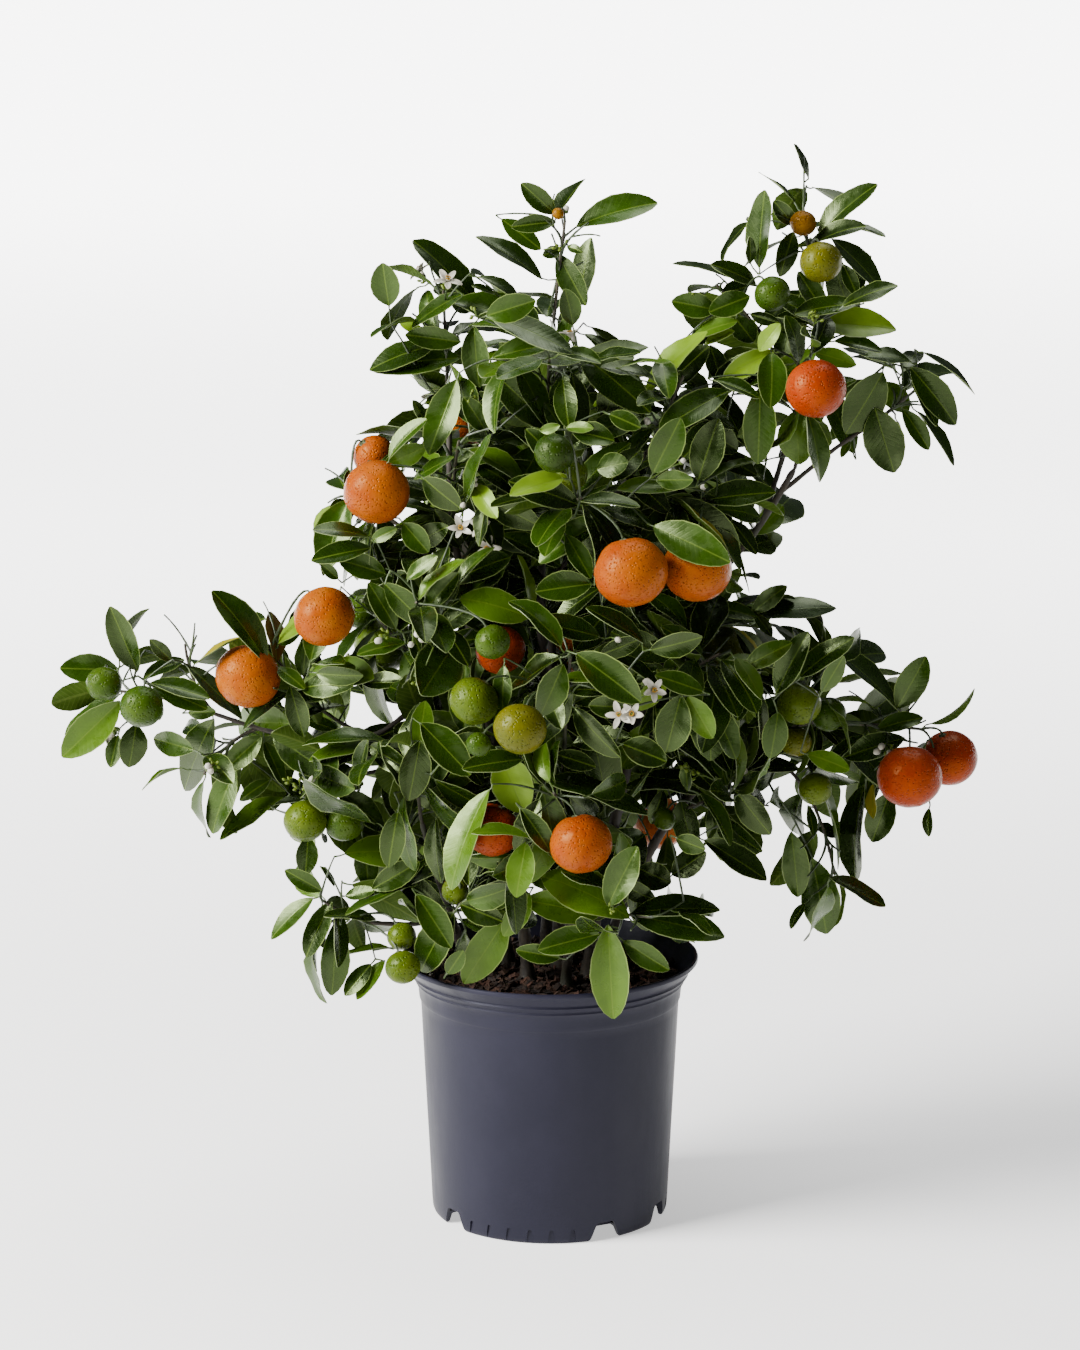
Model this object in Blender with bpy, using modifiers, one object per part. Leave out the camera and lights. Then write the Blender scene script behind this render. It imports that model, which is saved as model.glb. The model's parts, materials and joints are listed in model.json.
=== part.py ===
"""Calamondin orange tree in its nursery pot: pot, soil, stems, boughs and masses of foliage.

Metres, +Z up. The origin is at the centre of the pot's flat underside, and -Y is the front.
"""

import itertools
import math
import random

import bmesh
import bpy
from mathutils import Matrix, Vector
from mathutils.bvhtree import BVHTree

# Pot: a full gallon nursery pot, 180 mm across its rim and 161 mm high
POT_HEIGHT = 0.161
RIM_RADIUS = 0.0903
BODY_TOP_RADIUS = 0.0787
FOOT_RADIUS = 0.0721
COLLAR_Z = 0.134
FLARE_Z = 0.147
WALL = 0.0018
PAD_RADIUS = 0.046
CHANNEL_HEIGHT = 0.0065
POT_STEPS = 34
POT_TURN = math.radians(-15)
NOTCH_ANGLES = [start + third for third in (0, 120, 240) for start in (42.5, 81.0)]
NOTCH_FOOT_WIDTH = 0.021
NOTCH_TOP_WIDTH = 0.012
NOTCH_HEIGHT = 0.012

SOIL_TOP = 0.148
CLEAR = 0.0003
WELD = 0.0000015
THIN_SHARES = (0.60, 0.63, 0.66, 0.69, 0.72, 0.75, 0.78, 0.81, 0.84, 0.88, 0.92, 0.96, 1.0)

LIMB_STEP = 0.030
ROOT_FLARE = 1.55
FLARE_HEIGHT = 0.012

# Foliage
SEED = 7
TWIG_SIDES = 3
SPRIG_RADII = (0.00115, 0.0008)
SHOOT_RADII = (0.00095, 0.00065)
STALK_RADII = (0.0009, 0.0008)
STALK_SHARES = (0.3, 0.4, 0.5, 0.6, 0.7, 0.8, 0.9, 0.98)
LEAF_LENGTHS = (0.046, 0.070)
LEAF_WIDTH = 0.52
LEAF_WIDEST = 0.42
LEAF_STEP = 0.0075
TIP_LEAVES = 2
CROWN_MIDDLE = Vector((0.0, 0.03, 0.34))
ROOT_SINK = 0.00015
GOLDEN_ANGLE = math.radians(137.5)
SPACE_REACH = 1.25
SPACE_SLACK = 0.60
ROOM = 0.0004
TRIES = 30

UP = Vector((0, 0, 1))

# Limbs: where each leaves the soil or its parent, the points it runs through, and its radii
LIMBS = {
    "stem_1": dict(
        foot=(-0.052, -0.010),
        through=[(-0.059, -0.020, 0.188), (-0.069, -0.034, 0.225), (-0.076, -0.048, 0.255)],
        radii=(0.0032, 0.0016),
    ),
    "stem_2": dict(
        foot=(-0.026, 0.012),
        through=[(-0.036, 0.011, 0.210), (-0.056, 0.002, 0.280), (-0.080, -0.006, 0.316)],
        radii=(0.0038, 0.0018),
    ),
    "stem_3": dict(
        foot=(-0.014, -0.020),
        through=[
            (-0.022, -0.026, 0.240), (-0.043, -0.030, 0.345),
            (-0.057, -0.028, 0.430), (-0.060, -0.018, 0.505),
        ],
        radii=(0.0038, 0.0016),
    ),
    "stem_4": dict(
        foot=(0.006, 0.010),
        through=[
            (0.003, 0.013, 0.250), (-0.005, 0.006, 0.360),
            (-0.003, -0.005, 0.470), (0.002, -0.012, 0.548),
        ],
        radii=(0.0042, 0.0014),
    ),
    "stem_5": dict(
        foot=(0.024, -0.010),
        through=[
            (0.034, -0.008, 0.220), (0.055, -0.006, 0.310), (0.088, -0.010, 0.380),
            (0.122, -0.014, 0.425), (0.144, -0.018, 0.462),
        ],
        radii=(0.0040, 0.0018),
    ),
    "stem_6": dict(
        foot=(0.036, 0.016),
        through=[
            (0.048, 0.013, 0.195), (0.074, 0.007, 0.245), (0.104, 0.000, 0.277), (0.132, -0.002, 0.297),
        ],
        radii=(0.0036, 0.0018),
    ),
    "stem_7": dict(
        foot=(0.010, -0.036),
        through=[(0.012, -0.046, 0.195), (0.009, -0.060, 0.255), (0.008, -0.074, 0.300)],
        radii=(0.0032, 0.0016),
    ),
    "stem_8": dict(
        foot=(-0.002, 0.036),
        through=[
            (0.000, 0.048, 0.220), (0.002, 0.060, 0.310), (-0.002, 0.068, 0.385), (-0.012, 0.074, 0.430),
        ],
        radii=(0.0040, 0.0018),
    ),
    "bough_1a": dict(
        parent="stem_1", along=0.38,
        through=[(-0.082, -0.028, 0.187), (-0.108, -0.036, 0.190)], radii=(0.0018, 0.0013),
    ),
    "bough_2a": dict(
        parent="stem_2", along=1.0,
        through=[
            (-0.104, -0.010, 0.300), (-0.134, -0.012, 0.296), (-0.168, -0.012, 0.302),
            (-0.204, -0.012, 0.314), (-0.224, -0.012, 0.321),
        ],
        radii=(0.0017, 0.0012),
    ),
    "bough_2b": dict(
        parent="stem_2", along=0.80,
        through=[(-0.084, -0.018, 0.284), (-0.112, -0.026, 0.279)], radii=(0.0015, 0.0012),
    ),
    "bough_3a": dict(
        parent="stem_3", along=0.66,
        through=[(-0.070, -0.027, 0.408), (-0.088, -0.022, 0.428)], radii=(0.0016, 0.0012),
    ),
    "bough_4a": dict(
        parent="stem_4", along=0.58,
        through=[(0.020, -0.008, 0.420), (0.052, -0.028, 0.466)], radii=(0.0017, 0.0012),
    ),
    "bough_5a": dict(
        parent="stem_5", along=0.90,
        through=[(0.147, 0.004, 0.500), (0.150, 0.006, 0.540), (0.153, 0.002, 0.562)],
        radii=(0.0017, 0.0012),
    ),
    "bough_5b": dict(
        parent="stem_5", along=0.95,
        through=[(0.170, 0.000, 0.472), (0.190, 0.007, 0.484)], radii=(0.0015, 0.0012),
    ),
    "bough_6a": dict(
        parent="stem_6", along=1.0,
        through=[(0.156, -0.001, 0.305), (0.184, 0.000, 0.304)], radii=(0.0017, 0.0012),
    ),
    "bough_7a": dict(
        parent="stem_7", along=0.30,
        through=[(0.020, -0.058, 0.198), (0.031, -0.072, 0.205)], radii=(0.0016, 0.0012),
    ),
    "bough_8a": dict(
        parent="stem_8", along=0.76,
        through=[(0.022, 0.074, 0.385), (0.045, 0.082, 0.415)], radii=(0.0017, 0.0012),
    ),
    "bough_8b": dict(
        parent="stem_8", along=0.45,
        through=[(-0.036, 0.064, 0.288), (-0.064, 0.072, 0.308)], radii=(0.0017, 0.0012),
    ),
    "bough_8c": dict(
        parent="stem_8", along=0.40,
        through=[(0.034, 0.066, 0.272), (0.060, 0.078, 0.300)], radii=(0.0017, 0.0012),
    ),
}

# Masses: the limb and the place along it that each grows from, the middle and half-widths of its
# space, how many shoots it has, and its fruit as (x, y, z, radius, ripe)
MASSES = {
    "top_spray": dict(
        limb="stem_4", along=1.0, centre=(0.007, -0.020, 0.594), radii=(0.052, 0.036, 0.040), shoots=2,
        leaf_step=0.012,
        fruit=[(0.0045, -0.026, 0.613, 0.0036, False)],
    ),
    "top_left": dict(
        limb="stem_3", along=1.0, centre=(-0.062, -0.010, 0.550), radii=(0.050, 0.040, 0.043), shoots=3,
    ),
    "top_centre": dict(
        limb="stem_4", along=0.84, centre=(-0.001, -0.048, 0.522), radii=(0.052, 0.040, 0.042), shoots=3,
    ),
    "top_back": dict(
        limb="stem_4", along=0.78, centre=(0.006, 0.066, 0.512), radii=(0.055, 0.045, 0.045), shoots=3,
    ),
    "right_crest": dict(
        limb="bough_5a", along=1.0, centre=(0.150, 0.000, 0.594), radii=(0.050, 0.040, 0.052), shoots=3,
        fruit=[(0.1475, -0.012, 0.606, 0.0078, False), (0.157, -0.030, 0.5855, 0.0125, False)],
    ),
    "right_crest_left": dict(
        limb="bough_5a", along=0.50, centre=(0.104, -0.015, 0.560), radii=(0.037, 0.034, 0.031), shoots=3,
        fruit=[(0.129, -0.030, 0.567, 0.0107, False)],
    ),
    "right_crown": dict(
        limb="stem_5", along=1.0, centre=(0.144, -0.030, 0.510), radii=(0.056, 0.044, 0.048), shoots=5,
        fruit=[(0.153, -0.062, 0.516, 0.0176, True)],
    ),
    "right_outer": dict(
        limb="bough_5b", along=1.0, centre=(0.210, 0.008, 0.500), radii=(0.042, 0.036, 0.040), shoots=3,
        leaf_step=0.0065,
    ),
    "right_shoulder": dict(
        limb="bough_4a", along=1.0, centre=(0.070, -0.038, 0.505), radii=(0.050, 0.042, 0.046), shoots=3,
    ),
    "left_shoulder": dict(
        limb="stem_3", along=0.80, centre=(-0.054, -0.054, 0.472), radii=(0.046, 0.040, 0.050), shoots=3,
    ),
    "left_shoulder_outer": dict(
        limb="bough_3a", along=1.0, centre=(-0.106, -0.020, 0.438), radii=(0.042, 0.040, 0.044), shoots=4,
        fruit=[(-0.101, -0.052, 0.454, 0.0194, True), (-0.104, -0.012, 0.469, 0.0125, True)],
    ),
    "heart_upper": dict(
        limb="stem_4", along=0.64, centre=(0.014, -0.080, 0.449), radii=(0.050, 0.044, 0.050), shoots=3,
        fruit=[
            (0.0456, -0.120, 0.4195, 0.0211, True),
            (0.002, -0.110, 0.486, 0.0115, False), (0.010, -0.082, 0.470, 0.0116, False),
        ],
    ),
    "right_flank_upper": dict(
        limb="stem_5", along=0.66, centre=(0.088, -0.044, 0.435), radii=(0.043, 0.040, 0.042), shoots=3,
        fruit=[(0.084, -0.096, 0.417, 0.0201, True)],
    ),
    "left_flank": dict(
        limb="stem_3", along=0.52, centre=(-0.070, -0.072, 0.382), radii=(0.050, 0.044, 0.054), shoots=4,
        fruit=[(-0.029, -0.070, 0.364, 0.0146, True), (-0.033, -0.120, 0.379, 0.0103, False)],
    ),
    "left_arm_inner": dict(
        limb="bough_2a", along=0.22, centre=(-0.152, -0.028, 0.344), radii=(0.062, 0.040, 0.044), shoots=5,
        fruit=[(-0.132, -0.056, 0.381, 0.0182, True), (-0.179, -0.032, 0.340, 0.0196, True)],
    ),
    "left_arm_middle": dict(
        limb="bough_2a", along=0.66, centre=(-0.196, -0.014, 0.286), radii=(0.044, 0.036, 0.042), shoots=3,
        leaf_step=0.0065,
    ),
    "left_arm_outer": dict(
        limb="bough_2a", along=0.84, centre=(-0.212, -0.014, 0.342), radii=(0.040, 0.036, 0.038), shoots=3,
    ),
    "left_arm_tip": dict(
        limb="bough_2a", along=1.0, centre=(-0.252, -0.010, 0.325), radii=(0.046, 0.038, 0.048), shoots=4,
        leaf_step=0.0065,
        fruit=[(-0.264, -0.034, 0.336, 0.0107, False), (-0.241, -0.044, 0.3245, 0.0130, False)],
    ),
    "left_low": dict(
        limb="bough_2b", along=1.0, centre=(-0.134, -0.030, 0.266), radii=(0.050, 0.040, 0.042), shoots=4,
        leaf_step=0.0065,
        fruit=[(-0.145, -0.048, 0.256, 0.0130, False), (-0.122, -0.044, 0.254, 0.0119, False)],
    ),
    "heart_middle": dict(
        limb="stem_7", along=1.0, centre=(0.011, -0.096, 0.354), radii=(0.050, 0.040, 0.044), shoots=3,
        fruit=[
            (-0.044, -0.104, 0.341, 0.0144, False), (-0.0174, -0.132, 0.331, 0.0153, False),
            (-0.041, -0.124, 0.320, 0.0074, False),
        ],
    ),
    "right_flank": dict(
        limb="stem_5", along=0.46, centre=(0.090, -0.056, 0.350), radii=(0.052, 0.044, 0.050), shoots=4,
    ),
    "right_arm_inner": dict(
        limb="bough_6a", along=0.28, centre=(0.150, -0.026, 0.326), radii=(0.046, 0.036, 0.046), shoots=4,
        leaf_step=0.0065,
        fruit=[
            (0.147, -0.044, 0.326, 0.0130, False), (0.166, -0.020, 0.3145, 0.0107, False),
            (0.146, -0.030, 0.300, 0.0095, False),
        ],
    ),
    "right_arm_tip": dict(
        limb="bough_6a", along=1.0, centre=(0.208, 0.000, 0.302), radii=(0.046, 0.038, 0.052), shoots=4,
        leaf_step=0.0065,
        fruit=[(0.214, -0.032, 0.279, 0.0196, True), (0.2415, 0.010, 0.2805, 0.0175, True)],
    ),
    "right_hanging": dict(
        limb="stem_6", along=0.94, centre=(0.164, -0.010, 0.226), radii=(0.038, 0.034, 0.048), shoots=3,
        leaf_step=0.0065,
        fruit=[(0.158, -0.030, 0.271, 0.0101, False)],
    ),
    "right_low": dict(
        limb="stem_6", along=0.56, centre=(0.100, -0.034, 0.262), radii=(0.050, 0.042, 0.046), shoots=4,
        fruit=[(0.068, -0.030, 0.2525, 0.0071, False)],
    ),
    "heart_low": dict(
        limb="stem_7", along=0.72, centre=(0.004, -0.092, 0.278), radii=(0.054, 0.040, 0.042), shoots=3,
        fruit=[(0.0177, -0.110, 0.258, 0.0183, True), (-0.034, -0.090, 0.261, 0.0162, True)],
    ),
    "left_heart_low": dict(
        limb="stem_1", along=1.0, centre=(-0.078, -0.058, 0.284), radii=(0.046, 0.042, 0.054), shoots=4,
    ),
    "left_skirt": dict(
        limb="bough_1a", along=1.0, centre=(-0.122, -0.040, 0.198), radii=(0.046, 0.040, 0.050), shoots=4,
        leaf_step=0.0065,
        fruit=[(-0.087, -0.076, 0.174, 0.0105, False), (-0.088, -0.062, 0.189, 0.0088, False)],
    ),
    "front_skirt_left": dict(
        limb="stem_1", along=0.25, centre=(-0.050, -0.062, 0.208), radii=(0.046, 0.038, 0.040), shoots=4,
        leaf_step=0.0065,
        fruit=[(-0.056, -0.066, 0.2176, 0.0082, False)],
    ),
    "front_skirt_right": dict(
        limb="bough_7a", along=1.0, centre=(0.046, -0.086, 0.208), radii=(0.058, 0.040, 0.044), shoots=3,
        leaf_step=0.0065,
    ),
    "back_upper_left": dict(
        limb="stem_8", along=1.0, centre=(-0.049, 0.086, 0.470), radii=(0.052, 0.048, 0.050), shoots=3,
        fruit=[(-0.060, 0.126, 0.462, 0.0185, True)],
    ),
    "back_upper_right": dict(
        limb="bough_8a", along=1.0, centre=(0.068, 0.090, 0.450), radii=(0.054, 0.048, 0.048), shoots=3,
        fruit=[(0.084, 0.130, 0.446, 0.0125, False)],
    ),
    "back_left": dict(
        limb="bough_8b", along=1.0, centre=(-0.094, 0.078, 0.340), radii=(0.048, 0.046, 0.048), shoots=3,
        fruit=[(-0.104, 0.116, 0.330, 0.0190, True), (-0.118, 0.104, 0.352, 0.0110, False)],
    ),
    "back_middle": dict(
        limb="stem_8", along=0.60, centre=(0.000, 0.112, 0.325), radii=(0.048, 0.042, 0.044), shoots=3,
        fruit=[(0.010, 0.146, 0.318, 0.0180, True)],
    ),
    "back_right": dict(
        limb="bough_8c", along=1.0, centre=(0.088, 0.090, 0.332), radii=(0.048, 0.046, 0.048), shoots=3,
        fruit=[(0.108, 0.124, 0.322, 0.0186, True)],
    ),
    "back_low_left": dict(
        limb="stem_8", along=0.24, centre=(-0.070, 0.088, 0.228), radii=(0.048, 0.040, 0.042), shoots=3,
        fruit=[(-0.080, 0.120, 0.216, 0.0125, False)],
    ),
    "back_low_right": dict(
        limb="stem_8", along=0.20, centre=(0.050, 0.088, 0.224), radii=(0.050, 0.040, 0.042), shoots=3,
        fruit=[(0.070, 0.122, 0.212, 0.0175, True)],
    ),
}


def clear_scene():
    for obj in list(bpy.data.objects):
        bpy.data.objects.remove(obj, do_unlink=True)


def make_material(name, colour, roughness, metallic=0.0):
    material = bpy.data.materials.new(name)
    material.use_nodes = True
    shader = material.node_tree.nodes["Principled BSDF"]
    shader.inputs["Base Color"].default_value = (*colour, 1.0)
    shader.inputs["Roughness"].default_value = roughness
    shader.inputs["Metallic"].default_value = metallic
    return material


def make_collection(name, parent):
    collection = bpy.data.collections.new(name)
    parent.children.link(collection)
    return collection


def add_object(name, mesh, collection, material=None):
    obj = bpy.data.objects.new(name, mesh)
    collection.objects.link(obj)
    if material:
        obj.data.materials.append(material)
    return obj


def mesh_from(bm, name):
    mesh = bpy.data.meshes.new(name)
    bm.to_mesh(mesh)
    bm.free()
    return mesh


def apply_boolean(obj, operation, cutter=None, collection=None, solver="EXACT"):
    """Applies one Boolean to obj and removes what it was made with."""
    modifier = obj.modifiers.new(operation.lower(), "BOOLEAN")
    modifier.operation = operation
    modifier.solver = solver
    if collection:
        modifier.operand_type = "COLLECTION"
        modifier.collection = collection
    else:
        modifier.object = cutter
    graph = bpy.context.evaluated_depsgraph_get()
    mesh = bpy.data.meshes.new_from_object(obj.evaluated_get(graph))
    obj.modifiers.clear()
    obj.data = mesh
    spent = list(collection.objects) if collection else [cutter]
    for other in spent:
        bpy.data.objects.remove(other, do_unlink=True)


def shells(bm):
    """The faces of bm in groups that hang together."""
    left = set(bm.faces)
    groups = []
    while left:
        group = {left.pop()}
        edge_of_group = list(group)
        while edge_of_group:
            face = edge_of_group.pop()
            for edge in face.edges:
                for other in edge.link_faces:
                    if other in left:
                        left.remove(other)
                        group.add(other)
                        edge_of_group.append(other)
        groups.append(group)
    return sorted(groups, key=len, reverse=True)


def keep_main_shell(obj):
    """Fills hollows that a union sealed and drops what it left loose."""
    bm = bmesh.new()
    bm.from_mesh(obj.data)
    _, *spare = shells(bm)
    for group in spare:
        print("dropped", len(group), "faces from", obj.name)
        bmesh.ops.delete(bm, geom=list(group), context="FACES")
    bm.to_mesh(obj.data)
    bm.free()


# Pot and soil


def body_radius(z):
    """Radius of the pot's outer wall below the collar."""
    return FOOT_RADIUS + (BODY_TOP_RADIUS - FOOT_RADIUS) * z / COLLAR_Z


def turned(name, profile, collection, material):
    """A closed solid of revolution from (radius, height) points that start and end on the axis."""
    bm = bmesh.new()
    corners = [bm.verts.new((radius, 0, z)) for radius, z in profile]
    for first, second in zip(corners, corners[1:]):
        bm.edges.new((first, second))
    obj = add_object(name, mesh_from(bm, name), collection, material)
    screw = obj.modifiers.new("turn", "SCREW")
    screw.steps = screw.render_steps = POT_STEPS
    screw.use_merge_vertices = True
    screw.merge_threshold = 0.0001
    obj.rotation_euler.z = POT_TURN
    return obj


def pot_profile():
    """From the middle of the inner floor, up the inner wall, over the rim and down to the pad."""
    floor = CHANNEL_HEIGHT + WALL
    inside = [
        (0, WALL),
        (PAD_RADIUS - 0.001, WALL),
        (PAD_RADIUS + 0.003, floor),
        (body_radius(floor) - WALL, floor),
        (BODY_TOP_RADIUS - WALL, COLLAR_Z),
        (BODY_TOP_RADIUS + 0.0022 - WALL, FLARE_Z),
    ]
    rim = [
        (RIM_RADIUS - 0.0032, POT_HEIGHT - 0.0012),
        (RIM_RADIUS - 0.0012, POT_HEIGHT),
        (RIM_RADIUS, POT_HEIGHT - 0.0014),
        (RIM_RADIUS - 0.0006, POT_HEIGHT - 0.0050),
    ]
    outside = [
        (BODY_TOP_RADIUS + 0.0022, FLARE_Z),
        (BODY_TOP_RADIUS + 0.0010, COLLAR_Z + 0.0012),
        (BODY_TOP_RADIUS, COLLAR_Z),
        (body_radius(0.002), 0.002),
        (FOOT_RADIUS - 0.0014, 0),
        (FOOT_RADIUS - 0.0014 - WALL, 0),
        (FOOT_RADIUS - 0.0020 - WALL, CHANNEL_HEIGHT),
        (PAD_RADIUS + 0.004, CHANNEL_HEIGHT),
        (PAD_RADIUS, 0),
        (0, 0),
    ]
    return inside + rim + outside


def soil_profile():
    """The pot's inner wall and floor, taken in by the clearance, up to the flat top of the soil."""
    floor = CHANNEL_HEIGHT + WALL + CLEAR
    gap = WALL + 1.3 * CLEAR
    return [
        (0, SOIL_TOP),
        (BODY_TOP_RADIUS + 0.0020 - gap, SOIL_TOP),
        (BODY_TOP_RADIUS - gap, COLLAR_Z),
        (body_radius(floor) - gap, floor),
        (PAD_RADIUS + 0.0026, floor),
        (PAD_RADIUS - 0.0014, WALL + CLEAR),
        (0, WALL + CLEAR),
    ]


def notch_cutter(angle, collection):
    """A block with sloping sides that opens the pot's foot at this angle from the front."""
    bm = bmesh.new()
    bmesh.ops.create_cube(bm, size=1.0)
    for vertex in bm.verts:
        top = vertex.co.z > 0
        vertex.co.x *= NOTCH_TOP_WIDTH if top else NOTCH_FOOT_WIDTH * 1.3
        vertex.co.y = vertex.co.y * 0.014 - FOOT_RADIUS
        vertex.co.z = NOTCH_HEIGHT if top else -NOTCH_HEIGHT * 0.5
    turn = Matrix.Rotation(POT_TURN + math.radians(angle), 4, "Z")
    bmesh.ops.transform(bm, matrix=turn, verts=bm.verts)
    cutter = add_object("notch", mesh_from(bm, "notch"), collection)
    cutter.hide_render = True
    cutter.display_type = "WIRE"
    return cutter


def build_pot(collection, cutters, materials):
    pot = turned("pot", pot_profile(), collection, materials["pot"])
    for angle in NOTCH_ANGLES:
        apply_boolean(pot, "DIFFERENCE", cutter=notch_cutter(angle, cutters))
    pot.data.set_sharp_from_angle(angle=math.radians(35))
    turned("soil", soil_profile(), collection, materials["soil"])


# Paths and tubes


def smooth_path(points, step):
    """A Catmull-Rom curve through the points, sampled about every step."""
    points = [Vector(point) for point in points]
    ends = [2 * points[0] - points[1], *points, 2 * points[-1] - points[-2]]
    path = []
    for a, b, c, d in zip(ends, ends[1:], ends[2:], ends[3:]):
        count = max(1, round((c - b).length / step))
        for i in range(count):
            t = i / count
            path.append(
                0.5 * (2 * b + (c - a) * t + (2 * a - 5 * b + 4 * c - d) * t**2
                       + (3 * b - a - 3 * c + d) * t**3)
            )
    return path + [points[-1]]


def bent_path(start, control, end, pieces):
    """A quadratic curve from start to end that sets off towards control."""
    shares = [i / pieces for i in range(pieces + 1)]
    return [start * (1 - t) ** 2 + control * 2 * t * (1 - t) + end * t**2 for t in shares]


def point_at(path, share):
    """The point and the direction at this share of a path's length."""
    lengths = [(b - a).length for a, b in zip(path, path[1:])]
    left = share * sum(lengths)
    for a, b, length in zip(path, path[1:], lengths):
        if left <= length or b is path[-1]:
            return a.lerp(b, min(1.0, left / length)), (b - a).normalized()
        left -= length


def path_length(path):
    return sum((b - a).length for a, b in zip(path, path[1:]))


def tube(path, radii, sides=TWIG_SIDES, grown=0.0):
    """A closed tapering tube along the path: a capped circle, extruded from point to point."""
    bm = bmesh.new()
    bmesh.ops.create_circle(bm, cap_ends=True, segments=sides, radius=1.0)
    bm.faces.ensure_lookup_table()
    bm.faces[0].normal_flip()
    cap = bm.faces[0]
    ring = [vertex.co.copy() for vertex in cap.verts]
    turn = UP.rotation_difference((path[1] - path[0]).normalized())
    for i, point in enumerate(path):
        before = path[max(i - 1, 0)]
        after = path[min(i + 1, len(path) - 1)]
        direction = (after - before).normalized()
        turn = (turn @ UP).rotation_difference(direction) @ turn
        radius = radii[0] + (radii[1] - radii[0]) * i / (len(path) - 1) + grown
        if i:
            made = bmesh.ops.extrude_face_region(bm, geom=[cap])["geom"]
            if i > 1:
                bmesh.ops.delete(bm, geom=[cap], context="FACES_ONLY")
            cap = next(item for item in made if isinstance(item, bmesh.types.BMFace))
        for vertex, corner in zip(cap.verts, ring):
            vertex.co = point + turn @ (corner * radius)
    bmesh.ops.recalc_face_normals(bm, faces=bm.faces)
    if bm.calc_volume(signed=True) < 0:
        bmesh.ops.reverse_faces(bm, faces=bm.faces)
    return bm


# Limbs


def limb_paths():
    """Each limb's centreline. One that grows from a parent's tip starts just clear of it."""
    paths = {}
    for name, plan in LIMBS.items():
        if "foot" in plan:
            x, y = plan["foot"]
            base = SOIL_TOP + CLEAR
            points = [(x, y, base), (x, y, base + FLARE_HEIGHT), *plan["through"]]
            paths[name] = [Vector(points[0])] + smooth_path(points[1:], LIMB_STEP)
            continue
        start, direction = point_at(paths[plan["parent"]], plan["along"])
        if plan["along"] == 1.0:
            start = start + direction * CLEAR
        paths[name] = smooth_path([start, *plan["through"]], LIMB_STEP)
        if plan["along"] == 1.0:
            paths[name][0:1] = [start, start + direction * 0.004]
    return paths


def limb_radius(name, share):
    """Radius at a share of the limb's length."""
    first, last = LIMBS[name]["radii"]
    return first + (last - first) * share


def limb_mesh(name, path, grown=0.0):
    """The limb as a bevelled curve made into a mesh, with its caps welded."""
    data = bpy.data.curves.new(name, "CURVE")
    data.dimensions = "3D"
    data.bevel_depth = 1.0
    data.bevel_resolution = 1 if "foot" in LIMBS[name] else 0
    data.use_fill_caps = True
    spline = data.splines.new("POLY")
    spline.points.add(len(path) - 1)
    total = path_length(path)
    run = 0.0
    for i, (point, place) in enumerate(zip(spline.points, path)):
        run += (place - path[i - 1]).length if i else 0.0
        flare = ROOT_FLARE if i == 0 and "foot" in LIMBS[name] else 1.0
        point.co = (*place, 1.0)
        point.radius = limb_radius(name, run / total) * flare + grown
    curve = bpy.data.objects.new(name, data)
    bpy.context.scene.collection.objects.link(curve)
    graph = bpy.context.evaluated_depsgraph_get()
    mesh = bpy.data.meshes.new_from_object(curve.evaluated_get(graph))
    bpy.data.objects.remove(curve, do_unlink=True)
    bm = bmesh.new()
    bm.from_mesh(mesh)
    bmesh.ops.remove_doubles(bm, verts=bm.verts, dist=0.00001)
    bmesh.ops.recalc_face_normals(bm, faces=bm.faces)
    bm.to_mesh(mesh)
    bm.free()
    return mesh


def build_limbs(paths, collection, cutters, materials):
    for name, path in paths.items():
        limb = add_object(name, limb_mesh(name, path), collection, materials["bark"])
        plan = LIMBS[name]
        if "parent" in plan and plan["along"] < 1.0:
            parent = plan["parent"]
            shape = limb_mesh(parent, paths[parent], grown=CLEAR)
            apply_boolean(limb, "DIFFERENCE", cutter=add_object("cutter", shape, cutters))
        limb.data.set_sharp_from_angle(angle=math.radians(60))


# Foliage: one rule that branches every mass and hangs its leaves


def leaf(root, along, normal, length, droop, fold, grown=0.0):
    """A blade folded up along its rib and drooping to its tip: a cone of three sides, flattened."""
    bm = bmesh.new()
    bmesh.ops.create_cone(bm, cap_ends=True, segments=3, radius1=1.0, radius2=0.0, depth=1.0)
    across = normal.cross(along).normalized()
    half_width = length * LEAF_WIDTH / 2 + grown
    rise = fold * half_width + grown
    corners = [
        (length + grown, 0.0, -droop * length - grown),
        (LEAF_WIDEST * length, half_width, rise),
        (LEAF_WIDEST * length, -half_width, rise),
        (-grown, 0.0, -grown),
    ]
    order = sorted(bm.verts, key=lambda vertex: (vertex.co.z, math.atan2(vertex.co.y, vertex.co.x)))
    for vertex, (x, y, z) in zip(order, corners):
        vertex.co = root + along * x + across * y + normal * z
    if bm.calc_volume(signed=True) < 0:
        bmesh.ops.reverse_faces(bm, faces=bm.faces)
    return bm


def fruit_ball(centre, radius):
    """A slightly flattened ball, with fewer faces when it is small."""
    segments, rings = (8, 4) if radius > 0.0125 else (6, 3)
    bm = bmesh.new()
    place = Matrix.Translation(centre) @ Matrix.Diagonal((1.0, 1.0, 0.94, 1.0))
    bmesh.ops.create_uvsphere(bm, u_segments=segments, v_segments=rings, radius=radius, matrix=place)
    return bm


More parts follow.
